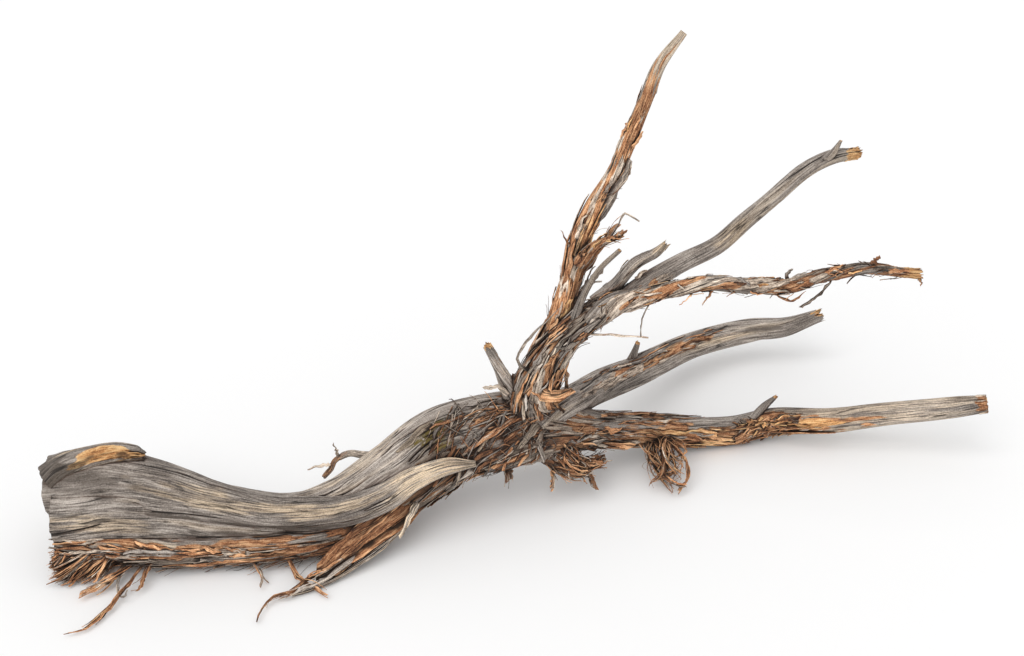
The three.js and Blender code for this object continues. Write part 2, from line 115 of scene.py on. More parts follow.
# Every limb's path is [x, y, z, radius] in millimetres, from its root to its broken tip.
# sides and rings set how fine its skin is, jag how ragged its two ends are, twist how far its
# grain turns, and relief how deep its grain is cut. A ridge is [how many, depth, turns, phase].
# flat squashes a limb from the front, round closes its tip, fresh is how torn its ends look,
# and bare how much of its bark has lost the outer plates.
# A patch is [what, centre along 0 to 1, half length, centre angle, half angle, strength]. An
# angle of 0 faces the front, 90 is the upper or left side. dark is dirt with painted shade, as
# under the ledge and the crown's strips. light only brightens the wood there, as painted light on
# the core's upper side, and calm makes its grain shallower.
trunkLimbs = {
    "core": {
        "fresh": 0, "bare": 0.35, "sides": 300, "rings": 260, "flat": 0.94, "jag": [0.45, 0.5], "twist": 0.10,
        "relief": 1.0,
        "ridges": [[3, 0.07, 0.35, 0.4], [7, 0.035, 0.5, 1.1]],
        "path": [
            [-264, -54, 27, 27.6], [-236, -54, 27, 27.8], [-202, -55, 24.5, 24.8], [-169, -56, 19.5, 19.8],
            [-135, -55, 16.5, 17.6], [-104, -47, 20.5, 18.8], [-76, -34, 31.5, 20.6], [-48, -15, 40.5, 23],
            [-19, -8, 45, 22], [10, -2, 45, 19.5], [32, 5, 38, 13], [50, 14, 31, 7],
        ],
        "patches": [
            ["dark", 0.03, 0.12, 32, 22, 0.9], ["moss", 0.620, 0.030, 22, 17, 2.0],
            ["dark", 0.67, 0.05, 46, 12, 0.6], ["bark", 0.82, 0.14, -30, 90, 0.9],
            ["dark", 0.66, 0.20, -32, 40, 1.0], ["bark", 0.62, 0.16, -36, 34, 1.0],
            ["bark", 0.45, 0.42, -98, 26, 0.8], ["pale", 0.50, 0.11, 75, 25, 0.4],
            ["pale", 0.06, 0.09, -14, 10, 0.7], ["dark", 0.87, 0.15, 0, 180, 0.45],
            ["light", 0.50, 0.16, 60, 70, 0.6], ["dark", 0.42, 0.16, -16, 8, 1.0],
        ],
    },
    "upperStrand": {
        "fresh": 0, "round": 0.6, "sides": 180, "rings": 220, "jag": [0.4, 1.2], "twist": 0.12,
        "relief": 0.95,
        "ridges": [[4, 0.07, 0.5, 0.9], [7, 0.03, 0.7, 0.2]],
        "path": [
            [-269, -52, 41, 16.5], [-260, -52, 41, 19.2], [-234, -53, 42, 20], [-200, -59, 42, 15.8],
            [-169, -62, 36, 11.2], [-147, -63, 31, 9.5], [-128, -62, 29, 9.5], [-103, -60, 30, 8.4],
            [-80, -56, 37, 7.9], [-64, -48, 43, 6.8], [-47, -41, 46, 5.1], [-29, -38, 46, 3.4],
        ],
        "patches": [
            ["dark", 0.09, 0.18, 16, 22, 0.8], ["pale", 0.56, 0.30, 14, 28, 0.9],
            ["light", 0.88, 0.2, 0, 180, 0.8],
            ["pale", 0.90, 0.18, 10, 100, 1.1], ["pale", 0.36, 0.08, -12, 14, 0.8],
            ["light", 0.6, 0.2, 15, 30, 0.3],
            ["dark", 0.45, 0.25, -55, 14, 1.0],
        ],
    },
    "lowerStrand": {
        "fresh": 0, "sides": 150, "rings": 180, "jag": [0.4, 1], "twist": 0.06, "relief": 0.95,
        "bare": 0.5,
        "ridges": [[4, 0.08, 0.3, 2.2]],
        "path": [
            [-262, -66, 17, 14.8], [-235, -68, 18, 14.6], [-201, -72, 15, 11.2], [-168, -70, 13, 9.6],
            [-134, -68, 13, 9.6], [-106, -62, 14, 9], [-78, -51, 22, 7.9], [-56, -37, 26, 6.9],
            [-33, -26, 33, 4.6],
        ],
        "patches": [
            ["bark", 0.35, 0.56, -52, 74, 1.0], ["pale", 0.2, 0.3, 4, 12, 0.6],
            ["bark", 0.8, 0.25, -30, 110, 1.0], ["dark", 0.5, 0.3, 70, 32, 1.0],
            ["dark", 0.85, 0.2, 20, 60, 0.7],
        ],
    },
    "ledge": {
        "fresh": 0.1, "round": 0.5, "sides": 120, "rings": 90, "jag": [0.5, 1.0], "twist": 0.1,
        "relief": 1.3,
        "ridges": [[3, 0.12, 0.2, 0.3]],
        "path": [
            [-267, -61, 53, 8.4], [-258, -57, 58, 8.6], [-244, -53, 61, 8.4], [-229, -49, 61.5, 7],
            [-215, -45, 57.5, 4.4],
        ],
        "patches": [
            ["torn", 0.66, 0.32, 14, 40, 1.0], ["dark", 0.10, 0.32, -10, 140, 1.6],
            ["dark", 0.5, 0.5, -60, 34, 1.0],
            ["pale", 0.6, 0.5, 80, 26, 1.0], ["dark", 0.78, 0.05, -8, 26, 1.0],
        ],
    },
}

branchLimbs = {
    "branchOne": {
        "sides": 96, "rings": 260, "jag": [0, 0.3], "round": 0.2, "twist": 0.35, "relief": 0.8,
        "bare": 0.5,
        "ridges": [[3, 0.08, 1.2, 0.5]],
        "path": [
            [0, 0, 55, 13.4], [7, 4, 85, 8.6], [18, 8, 113, 7.2], [24, 13, 137, 6.1], [28, 16, 160, 5.8],
            [36, 20, 180, 5.2], [46, 25, 197, 4.7], [55, 30, 218, 4.4], [63, 34, 238, 4.1],
            [70, 38, 259, 3.5], [83, 46, 274, 2.4],
        ],
        "patches": [
            ["bark", 0.42, 0.40, 0, 180, 1.0], ["bark", 0.76, 0.16, 0, 110, 0.9],
            ["pale", 0.92, 0.12, 0, 180, 0.6], ["dark", 0.10, 0.10, 0, 180, 0.7],
            ["torn", 0.40, 0.05, 10, 40, 0.5],
            ["light", 0.46, 0.30, 10, 90, 1.0], ["light", 0.92, 0.1, 0, 180, 0.7],
            ["torn", 0.43, 0.07, 5, 40, 0.45], ["calm", 0.42, 0.2, 0, 180, 0.8],
        ],
    },
    "stem": {
        "bare": 0.25, "sides": 110, "rings": 130, "jag": [0, 0], "twist": 0.3, "relief": 0.9,
        "ridges": [[4, 0.08, 0.6, 0.1]],
        "path": [
            [2, 0, 52, 17], [2, 0, 66, 14.4], [10, -2, 89, 10.8], [23, -2, 110, 8.2], [40, -2, 127, 6.5],
            [62, 0, 136, 4.4],
        ],
        "patches": [
            ["bark", 0.44, 0.42, 0, 120, 0.9], ["dark", 0.3, 0.4, -120, 60, 0.8],
            ["light", 0.14, 0.16, 40, 70, 0.9],
            ["calm", 0.14, 0.14, 40, 60, 0.6],
        ],
    },
    "branchTwo": {
        "sides": 90, "rings": 230, "jag": [0, 2.5], "twist": 0.3, "relief": 0.65,
        "ridges": [[3, 0.08, 0.8, 1.5]],
        "path": [
            [35, 0, 117, 6.2], [52, 6, 127, 6.2], [66, 12, 136, 5.6], [85, 20, 143, 5.3],
            [106, 26, 151, 5.1], [122, 30, 166, 4.8], [138, 34, 180, 4.5], [153, 40, 191, 4.5],
            [170, 48, 196, 4.2], [185, 56, 194, 3.4],
        ],
        "patches": [
            ["pale", 0.5, 0.06, -20, 60, 0.8], ["bark", 0.18, 0.14, -70, 60, 0.6],
            ["torn", 1.0, 0.05, 0, 180, 0.9],
        ],
    },
    "branchTwoFork": {
        "sides": 36, "rings": 34, "jag": [0, 0.5], "twist": 0.2, "relief": 0.4,
        "path": [[160, 44, 192, 2.8], [169, 44, 201, 2.2], [173, 44, 209, 0.8]],
        "patches": [],
    },
    "branchThree": {
        "sides": 70, "rings": 260, "jag": [0, 2], "twist": 1.4, "relief": 0.7, "bare": 0.05,
        "ridges": [[3, 0.1, 2.2, 0.2]],
        "path": [
            [35, -3, 122, 6.7], [48, -6, 133, 6.1], [61, -10, 140, 5], [81, -16, 151, 4.4],
            [101, -22, 158, 4.1], [122, -28, 160, 4], [141, -32, 164, 4], [161, -34, 172, 3.5],
            [181, -34, 175, 3.2], [208, -30, 169, 2.7],
        ],
        "patches": [
            ["bark", 0.25, 0.26, -30, 100, 1.0], ["bark", 0.62, 0.34, 0, 120, 0.9],
            ["torn", 1.0, 0.06, 0, 180, 0.6],
            ["dark", 0.8, 0.12, 70, 60, 0.8], ["pale", 0.45, 0.15, 10, 50, 0.5],
            ["light", 0.4, 0.4, 20, 70, 0.5], ["bark", 0.95, 0.1, 0, 180, 0.8],
        ],
    },
    "branchFour": {
        "sides": 120, "rings": 210, "jag": [0, 3], "twist": 0.2, "relief": 0.8,
        "ridges": [[3, 0.09, 0.5, 2.6], [5, 0.04, 0.9, 0.3]],
        "path": [
            [4, -14, 52, 8], [22, 6, 53, 9.6], [44, 42, 41, 9.6], [70, 77, 29, 9.2], [110, 115, 21.5, 8.2],
            [143, 126.5, 22, 7.3], [166, 125.5, 26, 6.2], [188, 129, 33, 3.8],
        ],
        "patches": [
            ["light", 0.45, 0.4, 0, 180, 0.45], ["bark", 0.40, 0.28, 8, 24, 0.9],
            ["torn", 0.11, 0.045, 45, 34, 0.9], ["pale", 0.62, 0.10, -5, 20, 0.7],
            ["torn", 1.0, 0.04, 60, 60, 0.9], ["dark", 0.42, 0.28, 42, 16, 0.8],
            ["dark", 0.75, 0.10, 10, 18, 0.9],
        ],
    },
    "branchFive": {
        "sides": 130, "rings": 280, "jag": [0, 1.0], "round": 0.16, "twist": 0.15, "relief": 0.9,
        "bare": 0.42,
        "ridges": [[3, 0.09, 0.7, 1.2], [5, 0.04, 0.4, 0.8]],
        "path": [
            [19, -2, 43, 12.4], [46, 13, 31, 10.2], [74, 28, 19, 10.2], [105, 37, 11, 8.4],
            [127, 42, 7.6, 8.5],
            [151, 46, 11, 8.5], [183, 38, 18.5, 7.6], [215, 35, 25.5, 6.9], [247, 31, 32, 6.6],
            [274, 29, 37.5, 6],
        ],
        "patches": [
            ["bark", 0.34, 0.36, -40, 62, 1.0], ["torn", 0.44, 0.10, -40, 26, 0.5],
            ["bark", 0.54, 0.09, 0, 60, 1.0], ["bark", 0.68, 0.12, -8, 22, 0.9],
            ["torn", 0.63, 0.10, -14, 22, 0.85], ["bark", 0.99, 0.02, 20, 90, 0.9],
            ["pale", 0.76, 0.24, 0, 180, 0.5],
            ["light", 0.80, 0.20, 0, 180, 0.7], ["calm", 0.84, 0.22, 0, 180, 1.0],
            ["dark", 0.12, 0.10, 0, 180, 0.3],
        ],
    },
    "brokenStem": {
        "sides": 60, "rings": 60, "jag": [0, 2], "twist": 0.3, "relief": 0.6,
        "ridges": [[3, 0.1, 0.4, 0.5]],
        "path": [[38, 4, 127, 5], [49, 10, 136, 3.9], [60, 16, 146, 3.4], [71, 20, 150, 2.8],
            [77, 22, 155, 1.7]],
        "patches": [["light", 0.5, 0.5, 0, 180, 0.7], ["calm", 0.5, 0.4, 0, 180, 0.8],
            ["pale", 0.95, 0.2, 0, 180, 0.9]],
    },
    "innerTwig": {
        "sides": 24, "rings": 50, "jag": [0, 0.5], "twist": 0.3, "relief": 0.35,
        "path": [[26, -4, 123, 2.8], [31, -8, 142, 1.9], [39, -12, 161, 1.6], [49, -14, 174, 1.3]],
        "patches": [["dark", 0.5, 0.5, 0, 180, 0.4]],
    },
    "splitTwig": {
        "sides": 30, "rings": 40, "jag": [0, 1.5], "twist": 0.3, "relief": 0.4,
        "path": [[28, 10, 151, 4.4], [38, 4, 166, 2.7], [51, -2, 176, 1.4]],
        "patches": [["bark", 0.5, 0.5, 0, 180, 1.0]], "bare": 0.3,
    },
    "crownStub": {
        "sides": 48, "rings": 50, "jag": [0, 1.2], "twist": 0.3, "relief": 0.55,
        "ridges": [[3, 0.1, 0.2, 0.5]],
        "path": [[-9, -4, 69, 5.2], [-16, -4, 87, 3.4], [-23, -4, 104, 2.3]],
        "patches": [["torn", 1.0, 0.06, 0, 180, 0.5], ["bark", 0.6, 0.4, -20, 80, 0.35],
            ["light", 0.6, 0.4, 0, 180, 0.5]],
    },
    "rootKnob": {
        "sides": 80, "rings": 60, "jag": [0, 1], "twist": 0.4, "relief": 0.7,
        "ridges": [[4, 0.12, 0.4, 0.9]],
        "path": [[7, -4, 42, 12.8], [19, -10, 30, 8.7], [28, -13, 24, 7], [38, -7, 22, 2.9],
            [45, -2, 22, 1.8]],
        "patches": [
            ["bark", 0.55, 0.4, 0, 180, 1.0], ["torn", 0.55, 0.08, -10, 50, 0.5],
            ["dark", 0.1, 0.2, 0, 180, 0.8],
        ], "bare": 0.3,
    },
    "branchFiveStub": {
        "sides": 30, "rings": 26, "jag": [0, 1], "twist": 0.2, "relief": 0.4,
        "path": [[137, 44, 14, 3], [145, 50, 20, 2.4], [152, 53, 25, 1.2]],
        "patches": [["dark", 0.5, 0.5, 0, 180, 0.4], ["torn", 1, 0.1, 0, 180, 0.8]],
    },
    "branchFourStub": {
        "sides": 26, "rings": 24, "jag": [0, 1], "twist": 0.2, "relief": 0.4,
        "path": [[62, 70, 35, 3.1], [66, 73, 44, 2.1], [68, 75, 50, 1.5]],
        "patches": [["torn", 1, 0.1, 0, 180, 0.6]],
    },
    "backTwig": {
        "sides": 24, "rings": 60, "jag": [0, 0.6], "twist": 0.2, "relief": 0.35,
        "path": [
            [-74, -26, 42, 2.6], [-95, -15, 34, 2], [-104, -10, 31, 1.7], [-112, -10, 26, 1.8],
            [-115, -11, 20, 1.8], [-119, -12, 15, 1.5],
        ],
        "patches": [["bark", 0.5, 0.5, 0, 180, 0.5]],
    },
}


# Works out a limb's centre line, its section axes and its length once
def traceLimb(name, limb, seed):
    t = np.linspace(0, 1, 601)
    blur = 20  # stations to each side that the radius is smoothed over
    path = np.array(limb["path"], float)
    line = curveThrough(path[:, :3], t)
    tangent = unit(np.gradient(line, axis=0))
    facing = unit(front - tangent * (tangent @ front)[:, None])
    radius = np.interp(t, np.linspace(0, 1, len(path)), path[:, 3])
    radius = np.convolve(np.pad(radius, blur, mode="edge"), np.ones(2 * blur + 1) / (2 * blur + 1), "valid")
    along = np.concatenate([[0], np.cumsum(np.linalg.norm(np.diff(line, axis=0), axis=1))])
    limb.update(
        name=name, seed=seed, t=t, line=line, tangent=tangent, facing=facing, upper=np.cross(facing, tangent),
        radius=radius, along=along, length=along[-1], meanRadius=float(radius.mean()),
    )


def sampleLimb(limb, key, t):
    values = limb[key]
    if values.ndim == 1:
        return np.interp(t, limb["t"], values)
    return np.stack([np.interp(t, limb["t"], values[:, k]) for k in range(3)], -1)


def ridgeShare(limb, angle, t):
    share = np.ones(np.broadcast(angle, t).shape)
    for count, depth, turns, phase in limb.get("ridges", []):
        share = share + depth * np.cos(count * (angle - 2 * np.pi * turns * t) + phase)
    return share


# Grain coordinates in millimetres: along the limb, and round it at its mean radius
def grainPlace(limb, angle, t):
    along = sampleLimb(limb, "along", t)
    reach = limb["meanRadius"]
    turned = angle - 2 * np.pi * limb["twist"] * t
    shift = limb["seed"] * 37.0
    coarse = np.stack([along / 45 + shift, np.cos(turned) * reach / 16, np.sin(turned) * reach / 16], -1)
    wander = valueNoise(coarse, 5) * 2.0 + valueNoise(coarse * 2.7, 6) * 0.7
    turned = turned + wander / max(reach, 4)
    return along, np.cos(turned) * reach, np.sin(turned) * reach


# Noise in streaks that follow the grain, each some millimetres long and wide
def streakNoise(place, length, width, seed, shift=0.0):
    along, across, side = place
    return valueNoise(np.stack([along / length + shift, across / width, side / width], -1), seed)


# Height of the weathered surface in millimetres, and how deep it is split
def grainRelief(limb, angle, t):
    along, across, side = grainPlace(limb, angle, t)
    swing = np.arctan2(side, across)

    def streak(length, width, seed, shift=0.0):
        place = (along, across - np.sin(swing) * shift, side + np.cos(swing) * shift)
        return streakNoise(place, length, width, seed, limb["seed"] * 11)

    # how far a place is from the nearest line where the two streaks cancel out, in millimetres
    def lineGap(first, second, share):
        values = [streak(*first, shift) + share * streak(*second, shift) for shift in (-0.3, 0.0, 0.3)]
        slope = np.abs(values[2] - values[0]) / 0.6
        return np.abs(values[1]) / (slope + 0.02) / (0.05 + smoothStep(0.03, 0.13, slope))

    size = limb["relief"] * min(1.0, 0.35 + limb["meanRadius"] / 26)
    lumps = streak(46, 13, 11)
    folds = 1 - 2 * np.abs(streak(60, 4.6, 12))
    ridges = streak(26, 2.0, 13)
    fine = streak(12, 1.1, 14)
    splitWidth, hairWidth = 0.48, 0.34
    splitLine = lineGap((80, 6.0, 15), (16, 2.6, 16), 0.3)
    split = np.exp(-((splitLine / splitWidth) ** 2)) * smoothStep(-0.25, 0.3, streak(30, 8, 17))
    hairLine = lineGap((34, 2.2, 18), (9, 1.4, 20), 0.2)
    hair = np.exp(-((hairLine / hairWidth) ** 2)) * smoothStep(-0.3, 0.4, streak(18, 4, 19))
    height = size * (0.36 * lumps + 0.06 * folds + 0.13 * ridges + 0.13 * fine - 1.5 * split - 0.5 * hair)
    return height, np.clip(split + 0.55 * hair, 0, 1)


# Plates of outer bark that are left on a limb: 1 on a plate, 0 on the inner bark between them
def barkPlates(limb, angle, t):
    place = grainPlace(limb, angle, t)
    wide = streakNoise(place, 17, 3.4, 61, limb["seed"])
    narrow = streakNoise(place, 8, 1.5, 62)
    return smoothStep(-0.02, 0.12, wide + 0.55 * narrow - limb.get("bare", 0))


# The place at an angle from a limb's front, some millimetres out from its centre line
def aroundLine(limb, angle, t, reach):
    return (
        sampleLimb(limb, "line", t)
        + sampleLimb(limb, "facing", t) * (reach * limb.get("flat", 1) * np.cos(angle))[..., None]
        + sampleLimb(limb, "upper", t) * (reach * np.sin(angle))[..., None]
    )


# The place on a limb's skin at an angle from its front, raised by some millimetres
def onLimb(limb, angle, t, raised):
    reach = sampleLimb(limb, "radius", t) * ridgeShare(limb, angle, t) + raised
    return aroundLine(limb, angle, t, reach)


patchKinds = ("bark", "torn", "pale", "dark", "moss", "light", "calm")


# How strongly each patch covers a place on a limb
def patchMasks(limb, angle, t):
    place = grainPlace(limb, angle, t)
    edge = streakNoise(place, 16, 3.2, limb["seed"] + 40)
    edge = edge + 0.6 * streakNoise(place, 7, 1.6, limb["seed"] + 41)
    masks = {what: 0 * t for what in patchKinds}
    for what, centre, half, centreAngle, halfAngle, strength in limb["patches"]:
        turn = (np.degrees(angle) - centreAngle + 180) % 360 - 180
        off = np.sqrt(((t - centre) / half) ** 2 + (turn / halfAngle) ** 2 * (halfAngle < 179))
        mask = strength * (1 - smoothStep(0.55, 1.25, off + 0.55 * edge))
        masks[what] = np.maximum(masks[what], mask)
    return masks


def meshFrom(bm, name):
    mesh = bpy.data.meshes.new(name)
    bm.to_mesh(mesh)
    bm.free()
    return mesh


def corners(mesh):
    places = np.zeros(len(mesh.vertices) * 3)
    mesh.vertices.foreach_get("co", places)
    return places.reshape(-1, 3)


def addAttribute(mesh, name, values):
    kind, field = ("FLOAT_VECTOR", "vector") if values.ndim == 2 else ("FLOAT", "value")
    attribute = mesh.attributes.new(name, kind, "POINT")
    attribute.data.foreach_set(field, values.astype(np.float32).ravel())


def addMasks(mesh, masks):
    for what, mask in masks.items():
        addAttribute(mesh, what, np.clip(mask, 0, 1))


# Sets a piece's vertices in metres, kept inside the part's own box
def placeCorners(mesh, places):
    inside = np.clip(places * mm, np.array(low), np.array(high))
    mesh.vertices.foreach_set("co", inside.astype(np.float32).ravel())
    mesh.update()


# An upright tube, 1 in radius and height, with many rings
def tubeBlank(name, sides, rings):
    bm = bmesh.new()
    bmesh.ops.create_cone(bm, cap_ends=True, cap_tris=False, segments=sides, radius1=1, radius2=1, depth=1)
    upright = [e for e in bm.edges if abs(e.verts[0].co.z - e.verts[1].co.z) > 0.5]
    bmesh.ops.subdivide_edges(bm, edges=upright, cuts=rings - 1)
    return meshFrom(bm, name)


# Splinters along the axis at a limb's broken ends, which follow the grain
def endSplinters(limb, angle, t, reach, share):
    width = max(0.8, limb["meanRadius"] / 5)
    ends = [reach * np.cos(angle) / width, reach * np.sin(angle) / width, 0 * reach + limb["seed"]]
    ends = np.stack(ends, -1)
    splinter = valueNoise(ends, 51) * 0.9 + valueNoise(ends * 2.3, 52) * 0.6 - 0.35 * (1 - share)
    jagStart, jagEnd = limb["jag"]
    reachIn = 3.0 * max(limb["jag"]) / limb["length"] + 1e-3
    atStart = jagStart * (1 - smoothStep(0, reachIn, t))
    atEnd = jagEnd * smoothStep(1 - reachIn, 1, t)
    return sampleLimb(limb, "tangent", t) * (splinter * (atEnd - atStart))[:, None]


capShares = [0.02, 0.3, 0.55, 0.75, 0.9]  # widths of the rings that close each end of a limb


# One limb: a tube with many rings, bent along the limb and cut with its grain
def buildLimb(limb):
    rings = max(16, int(limb["rings"] * fineness))
    mesh = tubeBlank(limb["name"], max(12, int(limb["sides"] * fineness)), rings)
    raw = corners(mesh)
    ring = np.rint((raw[:, 2] + 0.5) * rings).astype(int)
    angle = -np.arctan2(raw[:, 1], raw[:, 0])
    share = np.ones(len(raw))
    for k, value in enumerate(capShares):
        share[(ring == k) | (ring == rings - k)] = value
    t = np.clip((ring - len(capShares)) / (rings - 2 * len(capShares)), 0, 1)
    height, split = grainRelief(limb, angle, t)
    masks = patchMasks(limb, angle, t)
    calm = masks.pop("calm")
    height = height * (1 - 0.5 * calm)
    split = split * (1 - 0.8 * calm)
    # wear and painted shade from the relief: ridges paler, hollows darker, and the light patches brighten
    shade = 0.26 * height / (0.5 + 0.4 * limb["relief"]) + 0.9 * masks.pop("light")
    masks["plate"] = barkPlates(limb, angle, t)
    plateDepth = min(1.2, 0.3 + limb["meanRadius"] / 14)
    plateHeight = plateDepth * (masks["plate"] - 0.45) * smoothStep(0.1, 0.5, masks["bark"])
    height = height * (1 - 0.3 * masks["bark"]) + plateHeight
    rough = np.stack([sampleLimb(limb, "along", t) / 2.6, np.cos(angle) * 5, np.sin(angle) * 5], -1)
    crumble = valueNoise(rough, 71) + 0.6 * valueNoise(rough * 2.3, 72)
    height = height + 1.1 * crumble * masks["torn"] * min(1, limb["meanRadius"] / 7)
    rounded = 1 - limb.get("round", 0) * smoothStep(0.9, 1.02, t) ** 1.5
    reach = (sampleLimb(limb, "radius", t) * ridgeShare(limb, angle, t) + height) * share * rounded
    placeCorners(mesh, aroundLine(limb, angle, t, reach) + endSplinters(limb, angle, t, reach, share))
    along, across, side = grainPlace(limb, angle, t)
    grain = np.stack([along + 60.0 * limb["seed"], across * share, side * share], -1) * mm
    addAttribute(mesh, "grain", grain)
    cut = 1 - smoothStep(0.8, 1, share)
    masks["torn"] = masks["torn"] + limb.get("fresh", 0.65) * cut
    masks["dark"] = masks["dark"] + 0.5 * cut * (t < 0.5)
    masks["split"] = split * share
    addMasks(mesh, masks)
    addAttribute(mesh, "shade", np.clip(shade, -1, 1))
    mesh.shade_smooth()
    return mesh


# A flat strip of bark with a closed skin, 1 wide and 1 long, that every loose strip starts from
def stripBlank(across, along):
    bm = bmesh.new()
    bmesh.ops.create_grid(bm, x_segments=across, y_segments=along, size=0.5)
    bmesh.ops.solidify(bm, geom=bm.faces[:], thickness=1.0)
    bmesh.ops.recalc_face_normals(bm, faces=bm.faces[:])
    return meshFrom(bm, "stripBlank")


# As many copies of the blank as there are strips, in one mesh
def manyBlanks(blank, count, name):
    bm = bmesh.new()
    for _ in range(count):
        bm.from_mesh(blank)
    return meshFrom(bm, name)


# How unlike each other the strips are, as two ends of a range. cupping is how far they curl
stripLook = {
    "twist": [-0.6, 0.6], "blunt": [0.2, 0.9], "edge": [-0.5, 0.45], "cup": [-0.4, 1], "cupping": 0.35,
    "slant": [-1.1, 1.1], "shade": [-1.1, 0.65],
}


# Bends one copy of the blank along each centre line. lines and faces are [strip, station, xyz]
def buildStrips(name, lines, faces, width, thick, tone, gleam, seed):
    count, stations = lines.shape[:2]
    blank = stripBlank(2, stations - 1)
    mesh = manyBlanks(blank, count, name)
    raw = corners(blank)
    rng = np.random.default_rng(seed)
    station = np.rint((raw[:, 1] + 0.5) * (stations - 1)).astype(int)
    side = raw[:, 0] * 2
    level = np.where(raw[:, 2] > raw[:, 2].mean(), 0.5, -0.5)
    tangent = unit(np.gradient(lines, axis=1))
    face = unit(faces - tangent * (faces * tangent).sum(-1, keepdims=True))
    u = np.linspace(0, 1, stations)
    twist = rng.uniform(*stripLook["twist"], (count, 1)) * u
    flank = np.cross(tangent, face)
    turnedFace = face * np.cos(twist)[..., None] + flank * np.sin(twist)[..., None]
    flank = np.cross(tangent, turnedFace)
    kink = rng.uniform(-1, 1, (count, stations)) * np.minimum(0.25 * width[:, None], 0.6)
    lines = lines + flank * kink[..., None]
    blunt = rng.uniform(*stripLook["blunt"], (count, 1))
    taper = (0.7 + 0.3 * smoothStep(0, 0.25, u)) * (1 - blunt * u**2.6)
    loss = np.minimum(1, 3 / width)[:, None, None]  # wide strips fray less for their width
    edge = 1 + loss * rng.uniform(*stripLook["edge"], (count, stations, 2))
    breadth = (width[:, None] * taper)[:, station] / 2
    breadth = breadth * np.where(side > 0, edge[:, :, 1][:, station], edge[:, :, 0][:, station])
    cup = stripLook["cupping"] * rng.uniform(*stripLook["cup"], (count, 1)) * breadth * (side**2)
    thin = thick[:, None] * (1 - 0.45 * u)[station]
    slant = rng.uniform(*stripLook["slant"], (count, 1)) * (station == stations - 1) * side * breadth
    places = (
        lines[:, station]
        + flank[:, station] * (side * breadth)[..., None]
        + tangent[:, station] * slant[..., None]
        + turnedFace[:, station] * (level * thin - cup)[..., None]
    )
    placeCorners(mesh, places.reshape(-1, 3))
    steps = np.cumsum(np.linalg.norm(np.diff(lines, axis=1), axis=2), 1)
    along = np.concatenate([np.zeros((count, 1)), steps], 1)
    spread = rng.uniform(0, 4000, count)[:, None] + 0 * side
    grain = np.stack([along[:, station] + spread, side * breadth + spread, level * thin], -1) * mm
    addAttribute(mesh, "grain", grain.reshape(-1, 3))
    tone = np.repeat(tone, len(raw))
    inner = np.tile(np.where(level < 0, 1.0, 0.0), count)
    tip = np.tile(u[station], count)
    chance = np.repeat(rng.uniform(-1, 1, count), len(raw))
    shade = np.repeat(rng.uniform(*stripLook["shade"], count) + gleam, len(raw))
    # painted shade darkens each strip's root, here and in its split below, and its free tip is lighter
    shade = shade + 0.4 * tip - 0.7 * (1 - smoothStep(0, 0.35, tip))
    addMasks(mesh, {
        "split": 0.3 * (1 - smoothStep(0, 0.25, tip)),
        "bark": tone * 2.2 - 0.2 + 0.4 * inner * (tone > 0.15),
        "plate": 1.5 - 2.2 * tone + 0.35 * chance - 0.5 * inner,
        "torn": (tone - 0.84) * 4 + 0.12 * tip * tone,
        "pale": 0.6 * chance * (tone < 0.4) - 1.5 * np.minimum(tone, 0),
        "dark": 0.0 * tone,
        "moss": 0.0 * tone,
    })
    addAttribute(mesh, "shade", np.clip(shade - 1.2 * np.minimum(tone, 0), -1, 1))
    return mesh


